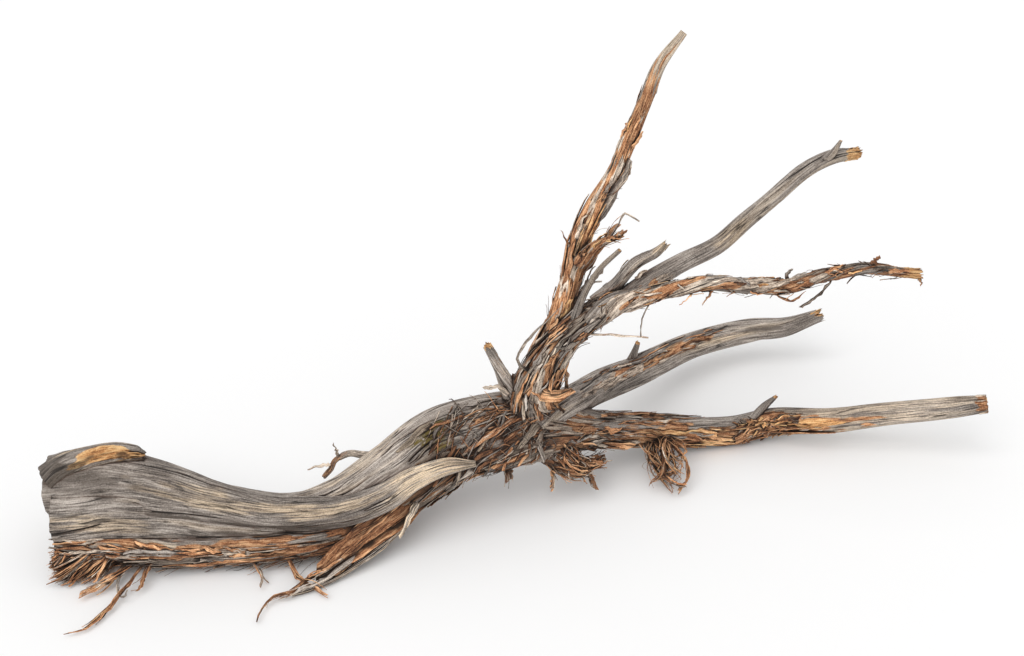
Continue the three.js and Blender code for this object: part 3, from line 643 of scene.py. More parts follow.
# Bark that peels off a limb in strips, for each piece. along and angles say where a strip's root
# is, towards which way its free end points, lift how far that end stands off. lean turns all the
# strips one way and gleam brightens them. Tone runs from pale bare wood below 0, through grey wood
# at 0 and brown bark at 0.6, to orange inner bark at 1.
barkColumns = (
    "limb", "seed", "count", "along", "angles", "length", "width", "lift", "turn", "towards", "tone",
    "gleam", "lean",
)
barkFamilies = {
    "underBark": [
        ["lowerStrand", 3, 210, [0.04, 0.52], [-112, -8], [8, 40], [0.35, 3.4], [0, 1.6],
            10, -1, [0.15, 0.78], 0.45],
        ["lowerStrand", 11, 26, [0.5, 0.98], [-125, -60], [12, 40], [0.4, 2.2], [0.2, 3],
            6, -1, [-0.2, 0.7]],
        ["core", 31, 70, [0.06, 0.64], [-150, -95], [20, 50], [0.8, 4.5], [0, 1.6], 8, -1, [0.1, 0.8]],
        ["lowerStrand", 37, 60, [0.1, 0.6], [-110, -50], [8, 22], [0.3, 0.7], [2, 8], 35, -1, [0.1, 0.9]],
    ],
    "crownBark": [
        ["core", 5, 150, [0.63, 0.84], [-105, 48], [8, 42], [0.5, 4.6], [0.0, 2.8],
            20, -1, [-0.05, 0.85], -0.15, -26],
        ["core", 6, 44, [0.66, 0.82], [30, 70], [6, 20], [0.4, 2.4], [0.0, 0.8],
            24, -1, [0.0, 0.7], 0.0, -30],
        ["core", 23, 110, [0.7, 0.95], [125, 250], [12, 38], [0.8, 4.4], [0.2, 3], 14, -1, [0.0, 0.75]],
        ["core", 44, 56, [0.82, 0.97], [-110, 10], [6, 26], [0.4, 3.0], [0.0, 2.4],
            30, 1, [0.2, 0.9], -0.15],
        ["core", 43, 80, [0.66, 0.86], [-130, 40], [5, 14], [0.3, 0.7], [1, 6], 60, -1, [0.2, 0.9], -0.2],
        ["rootKnob", 29, 130, [0.1, 0.8], [-180, 180], [5, 18], [0.35, 2], [0.3, 4], 50, 1, [0.45, 0.85]],
    ],
    "stemBark": [
        ["stem", 7, 74, [0.1, 0.75], [-180, 180], [14, 46], [1.0, 5.6], [0.0, 2.4],
            16, 1, [-0.1, 0.75], 0.2],
        ["stem", 47, 70, [0.2, 0.85], [-180, 180], [6, 18], [0.5, 3.4], [0.3, 4], 20, -1, [-0.1, 0.8]],
        ["stem", 48, 40, [0.1, 0.9], [-180, 180], [8, 22], [0.3, 0.7], [2, 8], 50, 1, [0.0, 0.8]],
        ["branchOne", 13, 28, [0.04, 0.42], [-180, 180], [10, 36], [1.6, 5.4], [0.0, 1.2],
            8, 1, [0.35, 1.0], 0.8],
        ["branchOne", 53, 22, [0.4, 0.8], [-180, 180], [6, 18], [1.0, 3.6], [0, 0.9],
            10, 1, [0.3, 1.0], 0.8],
        ["branchOne", 59, 26, [0.1, 0.6], [-180, 180], [6, 18], [0.3, 0.6], [1.5, 6], 60, 1, [0.1, 0.8]],
    ],
    "branchBark": [
        ["branchThree", 17, 90, [0.05, 0.9], [-180, 180], [4, 14], [0.4, 2.4], [0, 0.9],
            60, 1, [0.2, 0.95], 0.35],
        ["branchThree", 61, 36, [0.5, 0.97], [-180, 180], [3, 10], [0.4, 1.4], [0.6, 4],
            60, -1, [0.0, 0.8]],
        ["branchFive", 19, 64, [0.04, 0.56], [-80, 6], [12, 44], [0.5, 4.4], [0, 1.4],
            6, 1, [0.5, 0.95], 0.35],
        ["branchFive", 67, 90, [0.0, 0.26], [-150, 120], [8, 34], [0.5, 3.4], [0, 2.0], 22, 1, [0.1, 0.9]],
        ["branchFive", 68, 60, [0.46, 0.62], [-60, 40], [5, 16], [1.0, 4.4], [0, 1.6], 30, -1, [0.5, 0.95]],
        ["branchFour", 71, 36, [0.18, 0.6], [0, 60], [6, 24], [0.5, 2.2], [0, 0.6], 8, 1, [0.0, 0.8]],
        ["brokenStem", 73, 8, [0.1, 0.9], [-180, 180], [4, 13], [0.5, 2.4], [0, 0.6],
            30, 1, [0.1, 1.0], 0.2],
        ["splitTwig", 79, 34, [0.1, 0.9], [-180, 180], [4, 12], [0.6, 3.2], [0, 2.6],
            30, 1, [0.5, 1.0], 0.4],
    ],
}


# The centre lines of a family of strips that peel off one limb
def familyLines(limb, family, stations):
    rng = np.random.default_rng(family["seed"])
    count = max(3, family["count"] // fewer)
    towards = family["towards"]
    u = np.linspace(0, 1, stations)[None, :]
    start = rng.uniform(*family["along"], count)[:, None]
    angle = np.radians(rng.uniform(*family["angles"], count))[:, None]
    length = rng.uniform(*family["length"], count)[:, None]
    left = (start if towards < 0 else 1 - start) * limb["length"]
    length = np.minimum(length, left + 3)
    lift = np.minimum(between(family["lift"], rng.uniform(0, 1, count)[:, None] ** 1.8), length * 0.5)
    turn = np.radians(rng.uniform(-family["turn"], family["turn"], count) + family.get("lean", 0))[:, None]
    bend = rng.uniform(-1, 1, (count, 1)) * length * 0.05
    t = start + towards * length / limb["length"] * u
    over = np.maximum(0, t - 0.995) + np.maximum(0, 0.005 - t)  # how far it runs past the limb's ends
    t = np.clip(t, 0.005, 0.995)
    angle = angle + turn * u + np.radians(2) * np.sin(u * 5 + start * 40)
    height, _ = grainRelief(limb, angle, t)
    lines = onLimb(limb, angle, t, height - 0.8 + 1.3 * np.minimum(1, u * 2.5) + lift * u**2.2)
    tangent = sampleLimb(limb, "tangent", t)
    lines = lines + tangent * (towards * over * limb["length"])[..., None]
    faces = unit(lines - sampleLimb(limb, "line", t))
    lines[..., 2] -= 0.35 * lift * u**3  # free ends sag
    lines = lines + np.cross(tangent, faces) * (bend * np.sin(np.pi * u))[..., None]
    width = between(family["width"], rng.uniform(0, 1, count) ** 2.2)
    # most strips are clearly grey or clearly warm, few are between
    tone = between(family["tone"], smoothStep(0.15, 0.85, rng.uniform(0, 1, count)))
    return lines, faces, width, tone, np.full(count, family.get("gleam", 0.0))


def buildFamily(name, rows, limbs):
    families = [dict(zip(barkColumns, row)) for row in rows]
    parts = [familyLines(limbs[family["limb"]], family, 8) for family in families]
    lines, faces, width, tone, gleam = (np.concatenate([part[k] for part in parts]) for k in range(5))
    thick = np.clip(width * 0.25, 0.3, 0.8)
    return buildStrips(name, lines, faces, width, thick, tone, gleam, families[0]["seed"])


# Loose strips and fibres: [width, thickness, tone, points] in millimetres, tone as above
looseStrips = {
    "trailLong": [2.2, 0.8, 0.8, [[-210, -72, 11], [-219, -89, 7], [-225, -99, 4.5], [-230, -111, 3.5],
        [-234, -118, 3], [-240, -126, 2.5], [-249, -130, 2.5]]],
    "trailWide": [4.6, 0.8, 0.62, [[-212, -72, 10], [-229, -87, 7], [-239, -95, 5], [-248, -102, 4]]],
    "trailHook": [2.4, 0.8, 0.6, [[-209, -72, 11], [-213, -87, 7], [-214, -92, 5], [-217, -98, 4]]],
    "curlTip": [1.4, 0.7, 0.3, [[-226, -72, 10], [-228, -90, 5.5], [-227, -99, 4.5], [-223, -104, 5],
        [-221, -101, 8]]],
    "midWisp": [1.6, 0.7, 0.5, [[-158, -71, 10], [-152, -81, 6], [-148, -87, 4.5], [-149, -94, 3.5]]],
    "midStrip": [3.2, 0.8, 0.75, [[-138, -69, 10], [-130, -85, 6], [-125, -90, 4.5], [-120, -94, 3.5],
        [-111, -100, 3]]],
    "slabTop": [13, 1.2, 0.78, [[-50, -32, 34.5], [-73, -54, 28], [-90, -66, 20.5], [-105, -75, 13],
        [-118, -86, 6]]],
    "slabLow": [10, 1.2, 0.7, [[-52, -33, 26], [-70, -54, 20], [-86, -66, 14.5], [-100, -75, 9],
        [-112, -86, 4.5]]],
    "slabEdge": [6, 1.0, 0.64, [[-58, -35, 36], [-76, -54, 29.5], [-92, -66, 21], [-106, -73, 14.5]]],
    "fibreLong": [2.4, 0.7, 0.55, [[-88, -62, 12], [-103, -76, 8], [-124, -91, 5.5], [-132, -100, 4.5],
        [-141, -102, 3.5], [-146, -111, 3], [-148, -121, 2.5]]],
    "fibreTwo": [2.2, 0.7, -0.15, [[-86, -63, 11], [-112, -90, 6.5], [-123, -96, 5], [-134, -102, 3.5]]],
    "fibreThree": [2, 0.7, 0.6, [[-90, -62, 12], [-112, -85, 9], [-122, -91, 8]]],
    "slabSplinter": [2.2, 0.7, -0.8, [[-58, -39, 22], [-70, -59, 16.5], [-86, -71, 9.1], [-102, -81, 3.8],
        [-114, -89, 1.8]]],
    "slabSplinterTwo": [1.4, 0.6, -0.8, [[-64, -52, 19], [-82, -69, 10], [-104, -85, 3.5], [-122, -95, 2],
        [-138, -102, 1.6]]],
    "palePoint": [4, 0.9, -0.6, [[-52, -20, 32], [-62, -49, 29], [-67, -58, 22.5], [-72, -66, 15]]],
    "underFlap": [6, 1.2, 0.35, [[-17, -6, 34], [-12, -18, 28], [-11, -27, 24]]],
    "hangingRoot": [2.6, 1.6, 0.5, [[17, -8, 32], [15, -17, 20], [14, -24, 14]]],
    "hangingRootTwo": [2.2, 1.4, 0.4, [[34, -7, 25], [37, -15, 18], [41, -20, 12]]],
    "hangingRootThree": [1.6, 1.2, 0.6, [[33, -9, 25], [33, -15, 20], [33, -18, 16]]],
    "ballOne": [1.6, 0.8, 0.66, [[75, 28, 16], [74, 14, 11], [77, 2, 7], [85, -13, 4]]],
    "ballTwo": [1.6, 0.8, 0.66, [[80, 26, 16], [89, 15, 15], [95, 4, 12.5], [95, -4, 8.5], [89, -12, 5]]],
    "ballThree": [1.6, 0.8, 0.66, [[77, 27, 17], [81, 7, 15], [79, -6, 12], [72, -10, 8]]],
    "ballFour": [1.6, 0.8, 0.66, [[84, 26, 18], [81, 8, 19], [85, -5, 16], [93, -3, 10]]],
    "ballFive": [1.6, 0.8, 0.66, [[74, 27, 16], [77, 6, 12], [83, -6, 9], [93, -8, 5.5]]],
    "edgeSliver": [1.8, 0.8, 0.3, [[4, -6, 84], [-6, -10, 99], [-1, -5, 107], [6, -2, 114], [18, 2, 126]]],
    "straightTwig": [1.1, 1.0, 0.45, [[24, -3, 111], [46, -8, 114], [67, -12, 115]]],
    "arcFibre": [0.8, 0.7, 0.3, [[70, -13, 146], [63, -18, 134], [62, -20, 121]]],
    "post": [2.6, 1.4, 0.4, [[19, 0, 93], [22, 3, 80], [22, 12, 66], [24, 16, 48]]],
    "frillOne": [1.4, 0.7, 0.6, [[128, -29, 159], [140, -36, 156], [147, -40, 165]]],
    "frillTwo": [1.6, 0.7, 0.5, [[163, -34, 171], [153, -42, 163], [144, -46, 159]]],
    "frillThree": [2.4, 0.7, 0.2, [[137, -31, 163], [138, -30, 168], [140, -30, 173]]],
    "frillFour": [1.2, 0.7, 0.6, [[91, -19, 153], [88, -22, 150], [82, -24, 145]]],
    "frillFive": [1.4, 0.7, 0.6, [[101, -22, 156], [98, -24, 152], [94, -26, 147]]],
    "nib": [2.2, 1.2, 0.4, [[178, -33, 174], [183, -34, 180], [185, -36, 184]]],
    "hookTip": [1.6, 1.1, 0.8, [[204, -31, 170], [209, -32, 167], [210, -32, 163]]],
    "innerPlate": [4.2, 1.0, 0.62, [[27, 10, 138], [36, 14, 150], [44, 16, 163], [50, 16, 172]]],
    "innerPlateLow": [4, 1.0, 0.3, [[26, 6, 126], [34, 8, 138], [41, 8, 148]]],
    "orangeCup": [8, 0.8, 0.86, [[1, -8, 82], [7, -14, 79], [15, -13, 75], [26, -3, 72]]],
    "orangeFlake": [3.6, 0.6, 1.0, [[34, 5, 44], [37, 3.5, 41], [39, 2.5, 37]]],
    "barkPlate": [5, 1.0, 0.3, [[33, 14, 168], [46, 18, 189], [52, 21, 200], [56, 24, 208]]],
    "plateHair": [0.9, 0.7, 0.4, [[38, 18, 184], [48, 12, 196], [53, 11, 204], [55, 11, 211]]],
    "zigTwig": [1.1, 0.9, 0.3, [[42, 3, 168], [46, 4, 173], [50, 2, 183], [52, 0, 189], [60, -2, 185]]],
    "leftTwig": [1.4, 0.8, 0.5, [[26, 15, 154], [22, 12, 162], [18, 10, 172]]],
    "darkFlake": [2.4, 0.9, 0.4, [[64, 12, 134], [61, 10, 140], [66, 8, 147]]],
    "crownNub": [3, 1.4, 0.3, [[-6, -6, 66], [-17, -12, 81], [-25, -16, 83]]],
    "backTwigSide": [1.6, 1.1, 0.3, [[-110, -10, 28], [-111, -10, 33], [-113, -8, 37]]],
    "backTwigLeft": [1.8, 1.1, 0.4, [[-114, -11, 23], [-119, -12, 24], [-128, -14, 22]]],
}

# bundles gives how many finer fibres lie beside each strip whose name starts so
looseLook = {
    "stations": 13, "fibreSpread": 2.2, "fibreWidth": [0.35, 1.1], "fibreThick": 0.45, "seed": 83,
    "gleam": 0.3, "slabGleam": 0.85, "clearance": 0.7,
    "bundles": {"ball": 5, "slab": 7, "trail": 4, "fibre": 3, "mid": 2, "under": 6, "hanging": 4,
    "innerPlate": 5},
}


def looseStrands(u):
    rng = np.random.default_rng(looseLook["seed"])
    spread = looseLook["fibreSpread"]
    strands = []
    for part, (wide, deep, hue, points) in looseStrips.items():
        strands.append((curveThrough(points, u), wide, deep, hue))
        fibres = next((n for start, n in looseLook["bundles"].items() if part.startswith(start)), 0)
        for _ in range(fibres):
            drift = rng.normal(0, 1, 3) * spread * min(1.3, wide / 3)
            sway = rng.normal(0, 1, 3) * spread * 0.6
            strand = curveThrough(points, u * min(rng.uniform(0.7, 1.08), 1))
            strand = strand + drift * (u**1.5)[:, None] + sway * np.sin(u * np.pi * 2)[:, None] * u[:, None]
            width = rng.uniform(*looseLook["fibreWidth"])
            tone = np.clip(hue + rng.normal(0, 0.16), 0.1, 0.95)
            strands.append((strand, width, looseLook["fibreThick"], tone))
    return strands


# Splinters that run down off the foot of the stem over the crown. rootAt and rootRaised give
# the three places on the stem where each one starts
skirtLook = {
    "count": 44, "seed": 23, "angles": [-25, 110], "drop": [5, 20], "width": [0.5, 3.4], "thick": 0.6,
    "tone": [-0.1, 0.8], "rootAt": [0.26, 0.14, 0.03], "rootRaised": [0.4, 1.0, 1.6],
}


def skirtStrands(stem, u):
    rng = np.random.default_rng(skirtLook["seed"])
    strands = []
    for _ in range(skirtLook["count"] // fewer):
        around = np.radians(rng.uniform(*skirtLook["angles"]))
        fall = onLimb(stem, around, np.array(skirtLook["rootAt"]), np.array(skirtLook["rootRaised"]))
        outward = unit(fall[2] - stem["line"][0])
        drop = rng.uniform(*skirtLook["drop"])
        sideways = np.array([rng.normal(-0.25, 0.35), 0, 0])
        foot = fall[2] + (0.55 * outward + np.array([0, -0.3, -0.85]) + sideways) * drop
        middle = (fall[2] + foot) / 2 + outward * rng.uniform(0.5, 2.5)
        strand = curveThrough([*fall, middle, foot], u)
        width = between(skirtLook["width"], rng.uniform() ** 2)
        strands.append((strand, width, skirtLook["thick"], rng.uniform(*skirtLook["tone"])))
    return strands


# Tangles of fine root fibres: how many, and four middle points with their spread in millimetres
tangles = {
    "hangingBall": {
        "count": 90, "seed": 19, "width": [0.35, 1.3], "thick": 0.4, "tone": [0.35, 0.9],
        "points": [[79, 27, 17], [79, 13, 15], [82, 1, 11], [83, -6, 7]],
        "spread": [[3.5, 1.5, 1], [7, 4, 3], [8, 5, 3.5], [9, 6, 2.5]],
    },
    "rootBall": {
        "count": 120, "seed": 21, "width": [0.35, 1.4], "thick": 0.4, "tone": [0.4, 0.82],
        "points": [[14, -6, 40], [22, -12, 33], [27, -15, 25], [33, -12, 22]],
        "spread": [[6, 3, 5], [6, 4, 5], [7, 4, 4], [8, 4, 3]],
    },
}


def tangleStrands(tangle, u):
    rng = np.random.default_rng(tangle["seed"])
    strands = []
    for _ in range(tangle["count"] // fewer):
        points = np.array(tangle["points"]) + rng.normal(0, 0.75, (4, 3)) * np.array(tangle["spread"])
        strand = curveThrough(points, u * rng.uniform(0.5, 1))
        width = between(tangle["width"], rng.uniform() ** 2)
        strands.append((strand, width, tangle["thick"], rng.uniform(*tangle["tone"])))
    return strands


def buildLoose(name, limbs):
    u = np.linspace(0, 1, looseLook["stations"])
    strands = looseStrands(u) + skirtStrands(limbs["stem"], u)
    for tangle in tangles.values():
        strands += tangleStrands(tangle, u)
    lines, width, thick, tone = (np.array(values) for values in zip(*strands))
    lines[..., 2] = np.maximum(lines[..., 2], looseLook["clearance"])
    faces = np.broadcast_to(front, lines.shape)
    bright = (width > 9) | (tone < -0.5)  # the slab and the pale splinters
    gleam = np.where(bright, looseLook["slabGleam"], looseLook["gleam"])
    return buildStrips(name, lines, faces, width, thick, tone, gleam, 84)


# A fan of torn fibres under the broken end of the trunk. They lean outwards by slant, and end at
# footHeight, or sooner where they'd pass the edge by more than sway
brushLook = {
    "count": 620, "seed": 41, "stations": 7, "along": [0.0, 0.15], "angles": [-100, -24], "reach": [2.5, 14],
    "width": [0.3, 1.8], "slant": [0.5, 1.8], "footHeight": [0.8, 5], "edge": -266, "sway": [-2, 2],
    "wave": 0.9, "clearance": 0.6, "gleam": 0.35, "greyShare": 0.15, "greyTone": 0.35, "tone": [0.55, 0.82],
}


def buildBrush(name, limbs):
    rng = np.random.default_rng(brushLook["seed"])
    count = brushLook["count"] // fewer
    u = np.linspace(0, 1, brushLook["stations"])[None, :]
    t = between(brushLook["along"], rng.uniform(0, 1, count) ** 1.3)
    around = np.radians(rng.uniform(*brushLook["angles"], count))
    root = onLimb(limbs["lowerStrand"], around, t, -0.6)[:, None, :]
    reach = between(brushLook["reach"], rng.uniform(0, 1, (count, 1)) ** 1.5)
    slant = rng.uniform(*brushLook["slant"], (count, 1))
    drop = np.maximum(root[..., 2] - rng.uniform(*brushLook["footHeight"], (count, 1)), 0)
    room = root[..., 0] - brushLook["edge"] + rng.uniform(*brushLook["sway"], (count, 1))
    drop = np.minimum(drop, room.clip(0.5) / (slant + 0.45))
    reach = reach * (0.75 + 0.45 * valueNoise(np.stack([root[..., 0] / 5, 0 * reach, 0 * reach], -1), 91))
    reach = reach * np.minimum(1, drop / 9)
    wave = rng.normal(0, brushLook["wave"], (count, 1)) * np.sin(u * 4)
    sideways = -slant * (drop + 0.3 * reach) * u + wave * u
    lines = root + np.stack([sideways, -0.8 * reach * u, -drop * np.minimum(1, u * 1.1) ** 0.8], -1)
    lines[..., 2] = np.maximum(lines[..., 2], brushLook["clearance"])
    faces = np.broadcast_to(front, lines.shape)
    width = between(brushLook["width"], rng.uniform(0, 1, count) ** 2)
    grey = rng.uniform(0, 1, count) < brushLook["greyShare"]
    tone = np.where(grey, brushLook["greyTone"], rng.uniform(*brushLook["tone"], count))
    thick = np.clip(width * 0.3, 0.3, 0.7)
    return buildStrips(name, lines, faces, width, thick, tone, np.full(count, brushLook["gleam"]), 42)


# Shader values: a socket that can be added, multiplied and so on
class Wire:
    def __init__(self, shader, socket):
        self.shader = shader
        self.socket = socket

    def maths(self, kind, first, second=0.0):
        return self.shader.node("ShaderNodeMath", {"operation": kind}, {0: first, 1: second})

    def __add__(self, other):
        return self.maths("ADD", self, other)

    def __radd__(self, other):
        return self.maths("ADD", other, self)

    def __sub__(self, other):
        return self.maths("SUBTRACT", self, other)

    def __rsub__(self, other):
        return self.maths("SUBTRACT", other, self)

    def __mul__(self, other):
        return self.maths("MULTIPLY", self, other)

    def __rmul__(self, other):
        return self.maths("MULTIPLY", other, self)

    def size(self):
        return self.maths("ABSOLUTE", self)

    def clamped(self):
        return self.shader.node("ShaderNodeClamp", {}, {0: self})


class Shader:
    def __init__(self, name):
        self.material = bpy.data.materials.new(name)
        self.material.use_nodes = True
        self.tree = self.material.node_tree
        self.tree.nodes.clear()

    # A node of any kind: its settings first, then its sockets' values or links
    def node(self, kind, settings, inputs, output=0):
        made = self.tree.nodes.new(kind)
        for key, value in settings.items():
            if key == "stops":
                ramp = made.color_ramp
                while len(ramp.elements) < len(value):
                    ramp.elements.new(0.5)
                for element, (place, colour) in zip(ramp.elements, value):
                    element.position = place
                    element.color = (*colour, 1)
            else:
                setattr(made, key, value)
        for key, value in inputs.items():
            if isinstance(value, Wire):
                self.tree.links.new(value.socket, made.inputs[key])
            else:
                made.inputs[key].default_value = value
        return Wire(self, made.outputs[output]) if len(made.outputs) else None

    def value(self, name):
        return self.node("ShaderNodeAttribute", {"attribute_name": name}, {}, "Fac")

    def vector(self, name):
        return self.node("ShaderNodeAttribute", {"attribute_name": name}, {}, "Vector")

    def stretched(self, vector, scale):
        return self.node("ShaderNodeVectorMath", {"operation": "MULTIPLY"}, {0: vector, 1: scale})

    def scaled(self, colour, amount):
        return self.node("ShaderNodeVectorMath", {"operation": "SCALE"}, {0: colour, 3: amount})

    def noise(self, vector, scale, detail=3.0, roughness=0.55, distortion=0.0):
        return self.node(
            "ShaderNodeTexNoise",
            {},
            {"Vector": vector, "Scale": scale, "Detail": detail, "Roughness": roughness,
             "Distortion": distortion},
        )

    def ramp(self, value, stops):
        return self.node("ShaderNodeValToRGB", {"stops": stops}, {0: value})

    def mixed(self, share, first, second, blend="MIX"):
        first, second = (c if isinstance(c, Wire) else (*c[:3], 1) for c in (first, second))
        return self.node(
            "ShaderNodeMix", {"data_type": "RGBA", "blend_type": blend}, {0: share, 6: first, 7: second}, 2
        )

    def stepped(self, value, start, end):
        return self.node(
            "ShaderNodeMapRange", {"interpolation_type": "SMOOTHSTEP"},
            {0: value, 1: start, 2: end, 3: 0.0, 4: 1.0}
        )

    def finish(self, **sockets):
        inputs = {key.replace("_", " "): value for key, value in sockets.items()}
        surface = self.node("ShaderNodeBsdfPrincipled", {}, inputs)
        self.node("ShaderNodeOutputMaterial", {}, {"Surface": surface})
        return self.material


# Linear colours of the weathered wood and its bark, each finish with its places on a ramp
woodLook = {
    "grey": [(0.16, (0.055, 0.043, 0.036)), (0.46, (0.235, 0.198, 0.170)), (0.66, (0.435, 0.378, 0.331)),
        (0.88, (0.68, 0.61, 0.54))],
    "tan": [(0.18, (0.15, 0.10, 0.062)), (0.45, (0.46, 0.345, 0.235)), (0.72, (0.78, 0.62, 0.44))],
    "bark": [(0.22, (0.055, 0.020, 0.010)), (0.48, (0.37, 0.155, 0.066)), (0.76, (0.75, 0.44, 0.235))],
    "plate": [(0.22, (0.045, 0.030, 0.021)), (0.48, (0.345, 0.262, 0.20)), (0.78, (0.82, 0.69, 0.56))],
    "torn": [(0.22, (0.24, 0.085, 0.028)), (0.45, (0.66, 0.33, 0.125)), (0.72, (0.90, 0.60, 0.30))],
    # besides split and moss, these are the colours of dirt with painted shade, and of painted shade in
    # hollows
    "split": (0.012, 0.008, 0.006), "dirtAndShade": (0.052, 0.036, 0.025), "paintedShadeDeep": (0.012, 0.007, 0.005),
    "paintedShadeWarm": (0.135, 0.052, 0.023), "moss": (0.125, 0.09, 0.022),
    "roughness": 0.88, "bumpDepth": 0.0006,
}


def buildWoodMaterial(name):
    s = Shader(name)
    grain = s.vector("grain")
    place = s.node("ShaderNodeTexCoord", {}, {}, "Object")

    # noise in streaks, this many of them to a metre along the grain and across it
    def streaks(along, across, *settings):
        return s.noise(s.stretched(grain, (along, across, across)), 1.0, *settings)

    fine = streaks(60, 2000, 3.0, 0.68, 0.2)
    middle = streaks(30, 640, 3.0, 0.6, 0.3)
    flake = streaks(120, 850, 4.0, 0.64, 0.5)
    cloud = s.noise(place, 26.0, 3.0, 0.55)
    speck = s.noise(place, 1250.0, 2.0, 0.6)
    shade = s.value("shade")
    common = (cloud - 0.5) * 0.6 + (speck - 0.5) * 0.6 + shade * 0.10
    tone = (0.5 + (fine - 0.5) * 1.6 + (middle - 0.5) * 0.45 + common).clamped()
    barkTone = (0.5 + (flake - 0.5) * 1.5 + (fine - 0.5) * 0.8 + common).clamped()
    grey, tan = s.ramp(tone, woodLook["grey"]), s.ramp(tone, woodLook["tan"])
    bark, plate, torn = (s.ramp(barkTone, woodLook[finish]) for finish in ("bark", "plate", "torn"))

    # bare wood, then the bark on it, then torn wood, dirt with painted shade, and moss
    warmth = s.stepped(streaks(10, 150, 2.0, 0.5, 0.3), 0.55, 0.70)
    paleHere = (s.value("pale") * s.stepped(middle + (fine - 0.5) * 0.8, 0.36, 0.56)).clamped()
    colour = s.mixed(paleHere, s.mixed(warmth * 0.35, grey, tan), tan)
    plateHere = s.stepped(s.value("plate") + (flake - 0.5) * 1.4, 0.40, 0.56)
    # painted shade: a dark line along each bark plate's edge
    plateEdge = 1 - (plateHere * 2 - 1).size()
    barkHere = s.stepped(s.value("bark") + (flake - 0.5) * 0.9, 0.32, 0.60)
    barked = s.mixed(plateEdge * 0.3, s.mixed(plateHere, bark, plate), woodLook["split"])
    colour = s.mixed(barkHere, colour, barked)
    colour = s.mixed(s.stepped(s.value("torn") + (flake - 0.5) * 0.7, 0.35, 0.60), colour, torn)
    dirtAndShade = s.stepped(s.value("dark") + (cloud - 0.5) * 0.5 + (fine - 0.5) * 2.2, 0.2, 1.2)
    colour = s.mixed(dirtAndShade * 0.8, colour, woodLook["dirtAndShade"])
    mossHere = (s.value("moss") * s.stepped(s.noise(place, 380.0, 3.0), 0.30, 0.50)).clamped()
    colour = s.mixed(mossHere, colour, woodLook["moss"])
    # shade scales the colour: painted shade and light on the limbs and at the strips' roots and tips, and
    # each strip's own random tone
    colour = s.scaled(colour, 1 + shade * 0.5)

    # painted shade: hollows first turn warm brown, then nearly black
    closed = s.value("crevice") + (speck - 0.5) * 0.3
    colour = s.mixed(s.stepped(closed, 0.06, 0.42) * 0.42, colour, woodLook["paintedShadeWarm"])
    colour = s.mixed(s.stepped(closed, 0.16, 0.62) * 0.92, colour, woodLook["paintedShadeDeep"])

    # drying cracks: short dashes, long lines and threads, and the splits cut in the mesh
    dash = s.stepped(streaks(80, 900, 2.0, 0.6, 0.2), 0.37, 0.30)
    crackLine = (streaks(10, 230, 3.0, 0.5, 0.3) - 0.5).size()
    crack = s.stepped(crackLine, 0.016, 0.004) * s.stepped(streaks(24, 130, 2.0), 0.44, 0.58)
    threadLine = (streaks(18, 560, 2.0, 0.5, 0.3) - 0.5).size()
    thread = s.stepped(threadLine, 0.020, 0.004) * s.stepped(streaks(30, 200), 0.46, 0.6)
    splitHere = s.stepped(s.value("split") + (fine - 0.5) * 0.8, 0.45, 0.75)
    for here, strength in ((dash, 0.55), (crack, 0.85), (thread, 0.6), (splitHere, 0.9)):
        colour = s.mixed(here * strength, colour, woodLook["split"])
    height = fine * 0.9 + middle * 0.5 + speck * 0.3 + flake * barkHere + plateHere * barkHere * 0.5
    height = height - crack * 0.8 - dash * 0.4
    depth = woodLook["bumpDepth"]
    bump = s.node("ShaderNodeBump", {}, {"Strength": 1.0, "Distance": depth, "Height": height})
    return s.finish(Base_Color=colour, Roughness=woodLook["roughness"], Normal=bump)


# How closed in each vertex is, from short rays against everything built. Shade is painted there.
# reach and start are in millimetres, tilt is how far in degrees the outer rays lean
creviceLook = {"reach": 8.0, "tilt": 52, "start": 0.25, "rays": 5, "seed": 5}


def trianglesOf(mesh):
    mesh.calc_loop_triangles()
    found = np.zeros(len(mesh.loop_triangles) * 3, np.int32)
    mesh.loop_triangles.foreach_get("vertices", found)
    return found.reshape(-1, 3)


def addCrevices(meshes):
    places, faces, count = [], [], 0
    for mesh in meshes:
        places.append(corners(mesh))
        faces.append(trianglesOf(mesh) + count)
        count += len(places[-1])
    faces = np.concatenate(faces).tolist()
    tree = mathutils.bvhtree.BVHTree.FromPolygons(np.concatenate(places).tolist(), faces)
    reach = creviceLook["reach"] * mm
    rng = np.random.default_rng(creviceLook["seed"])
    for mesh, spots in zip(meshes, places):
        normals = np.zeros(len(spots) * 3)
        mesh.vertex_normals.foreach_get("vector", normals)
        normals = normals.reshape(-1, 3)
        across = unit(np.cross(normals, rng.normal(0, 1, (len(spots), 3))))
        other = np.cross(normals, across)
        starts = (spots + normals * creviceLook["start"] * mm).tolist()
        closed = np.zeros(len(spots))
        for ray in range(creviceLook["rays"]):
            around = 2 * math.pi * ray / (creviceLook["rays"] - 1)
            tilt = math.radians(creviceLook["tilt"]) if ray else 0.0
            sideways = across * math.cos(around) + other * math.sin(around)
            aims = normals * math.cos(tilt) + sideways * math.sin(tilt)
            hits = [tree.ray_cast(start, aim, reach)[3] for start, aim in zip(starts, aims.tolist())]
            nearness = np.array([0.0 if hit is None else 1 - hit / reach for hit in hits])
            closed += np.sqrt(nearness)
        addAttribute(mesh, "crevice", np.clip(closed / creviceLook["rays"], 0, 1))


def addPiece(mesh, material):
    mesh.materials.clear()
    mesh.materials.append(material)
    piece = bpy.data.objects.new(mesh.name, mesh)
    bpy.context.scene.collection.objects.link(piece)
    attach(piece, "root")
    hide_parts("driftwood")


floorLook = {"size": 12.0, "colour": (0.93, 0.93, 0.93), "roughness": 0.9, "height": -0.0003}


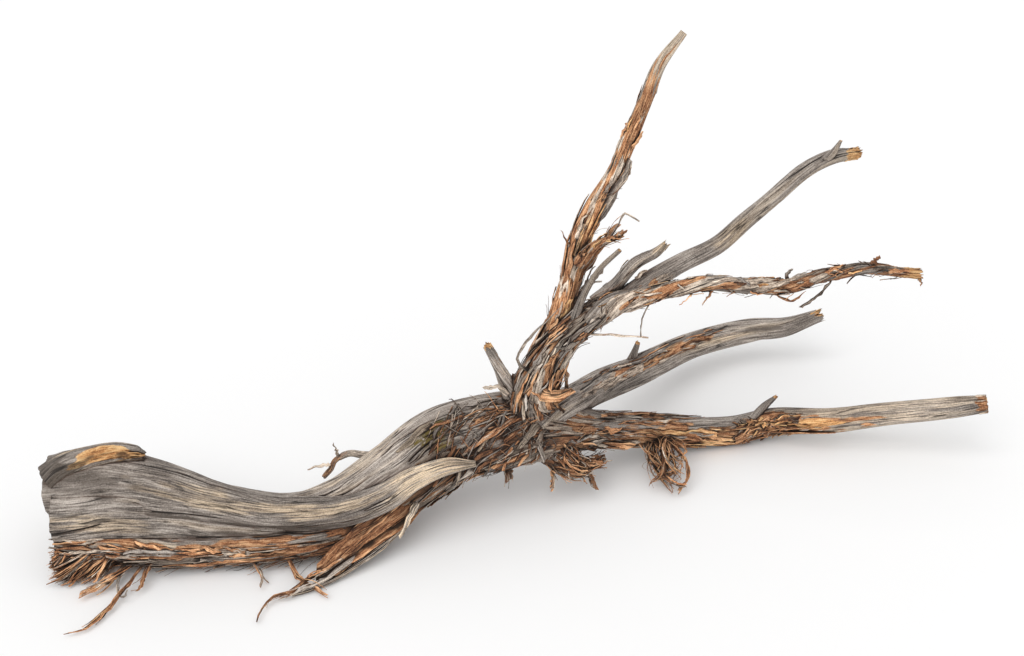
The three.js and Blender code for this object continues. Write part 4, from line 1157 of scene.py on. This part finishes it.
def buildFloor():
    bm = bmesh.new()
    bmesh.ops.create_grid(bm, x_segments=1, y_segments=1, size=floorLook["size"] / 2)
    bmesh.ops.translate(bm, verts=bm.verts[:], vec=(0, 0, floorLook["height"]))
    floor = bpy.data.objects.new("floor", meshFrom(bm, "floor"))
    bpy.context.scene.collection.objects.link(floor)
    colour = (*floorLook["colour"], 1)
    paper = Shader("floorPaper").finish(Base_Color=colour, Roughness=floorLook["roughness"])
    floor.data.materials.append(paper)


# A white sky, and a wide soft sun that shines from this direction
lightLook = {"sky": 0.745, "sun": 1.30, "sunSize": 55.0, "from": (-0.38, -0.50, 1.0)}


def buildLights():
    world = bpy.data.worlds.new("studio")
    bpy.context.scene.world = world
    world.use_nodes = True
    sky = world.node_tree.nodes["Background"]
    sky.inputs["Color"].default_value = (1, 1, 1, 1)
    sky.inputs["Strength"].default_value = lightLook["sky"]
    lamp = bpy.data.lights.new("softSun", "SUN")
    lamp.angle = math.radians(lightLook["sunSize"])
    lamp.energy = lightLook["sun"]
    sun = bpy.data.objects.new("softSun", lamp)
    side, back, up = lightLook["from"]
    tilt = math.atan2(math.hypot(side, back), up)
    sun.rotation_euler = (tilt, 0, math.atan2(-back, -side) - math.pi / 2)
    bpy.context.scene.collection.objects.link(sun)
    bpy.context.scene.view_settings.view_transform = "Standard"
    bpy.context.scene.view_settings.look = "None"


cameraLook = {"place": (-0.009, -0.91725, 0.75542), "lens": 70.0, "sensor": 36.0, "down": 35.0}


def buildCamera():
    data = bpy.data.cameras.new("camera")
    data.lens = cameraLook["lens"]
    data.sensor_width = cameraLook["sensor"]
    camera = bpy.data.objects.new("camera", data)
    camera.location = cameraLook["place"]
    camera.rotation_euler = (math.radians(90 - cameraLook["down"]), 0, 0)
    bpy.context.scene.collection.objects.link(camera)
    bpy.context.scene.camera = camera


limbs = {**trunkLimbs, **branchLimbs}
for number, (limbName, limb) in enumerate(limbs.items(), 1):
    traceLimb(limbName, limb, number)
print("limbs traced")

wood = buildWoodMaterial("weatheredWood")
print("materials made")

meshes = [buildLimb(limb) for limb in limbs.values()]
print("limbs built")

meshes += [buildFamily(familyName, rows, limbs) for familyName, rows in barkFamilies.items()]
meshes += [buildLoose("looseStrips", limbs), buildBrush("endBrush", limbs)]
print("bark built")

addCrevices(meshes)
print("crevices found")

for mesh in meshes:
    addPiece(mesh, wood)

buildFloor()
buildLights()
buildCamera()
print("stage set")
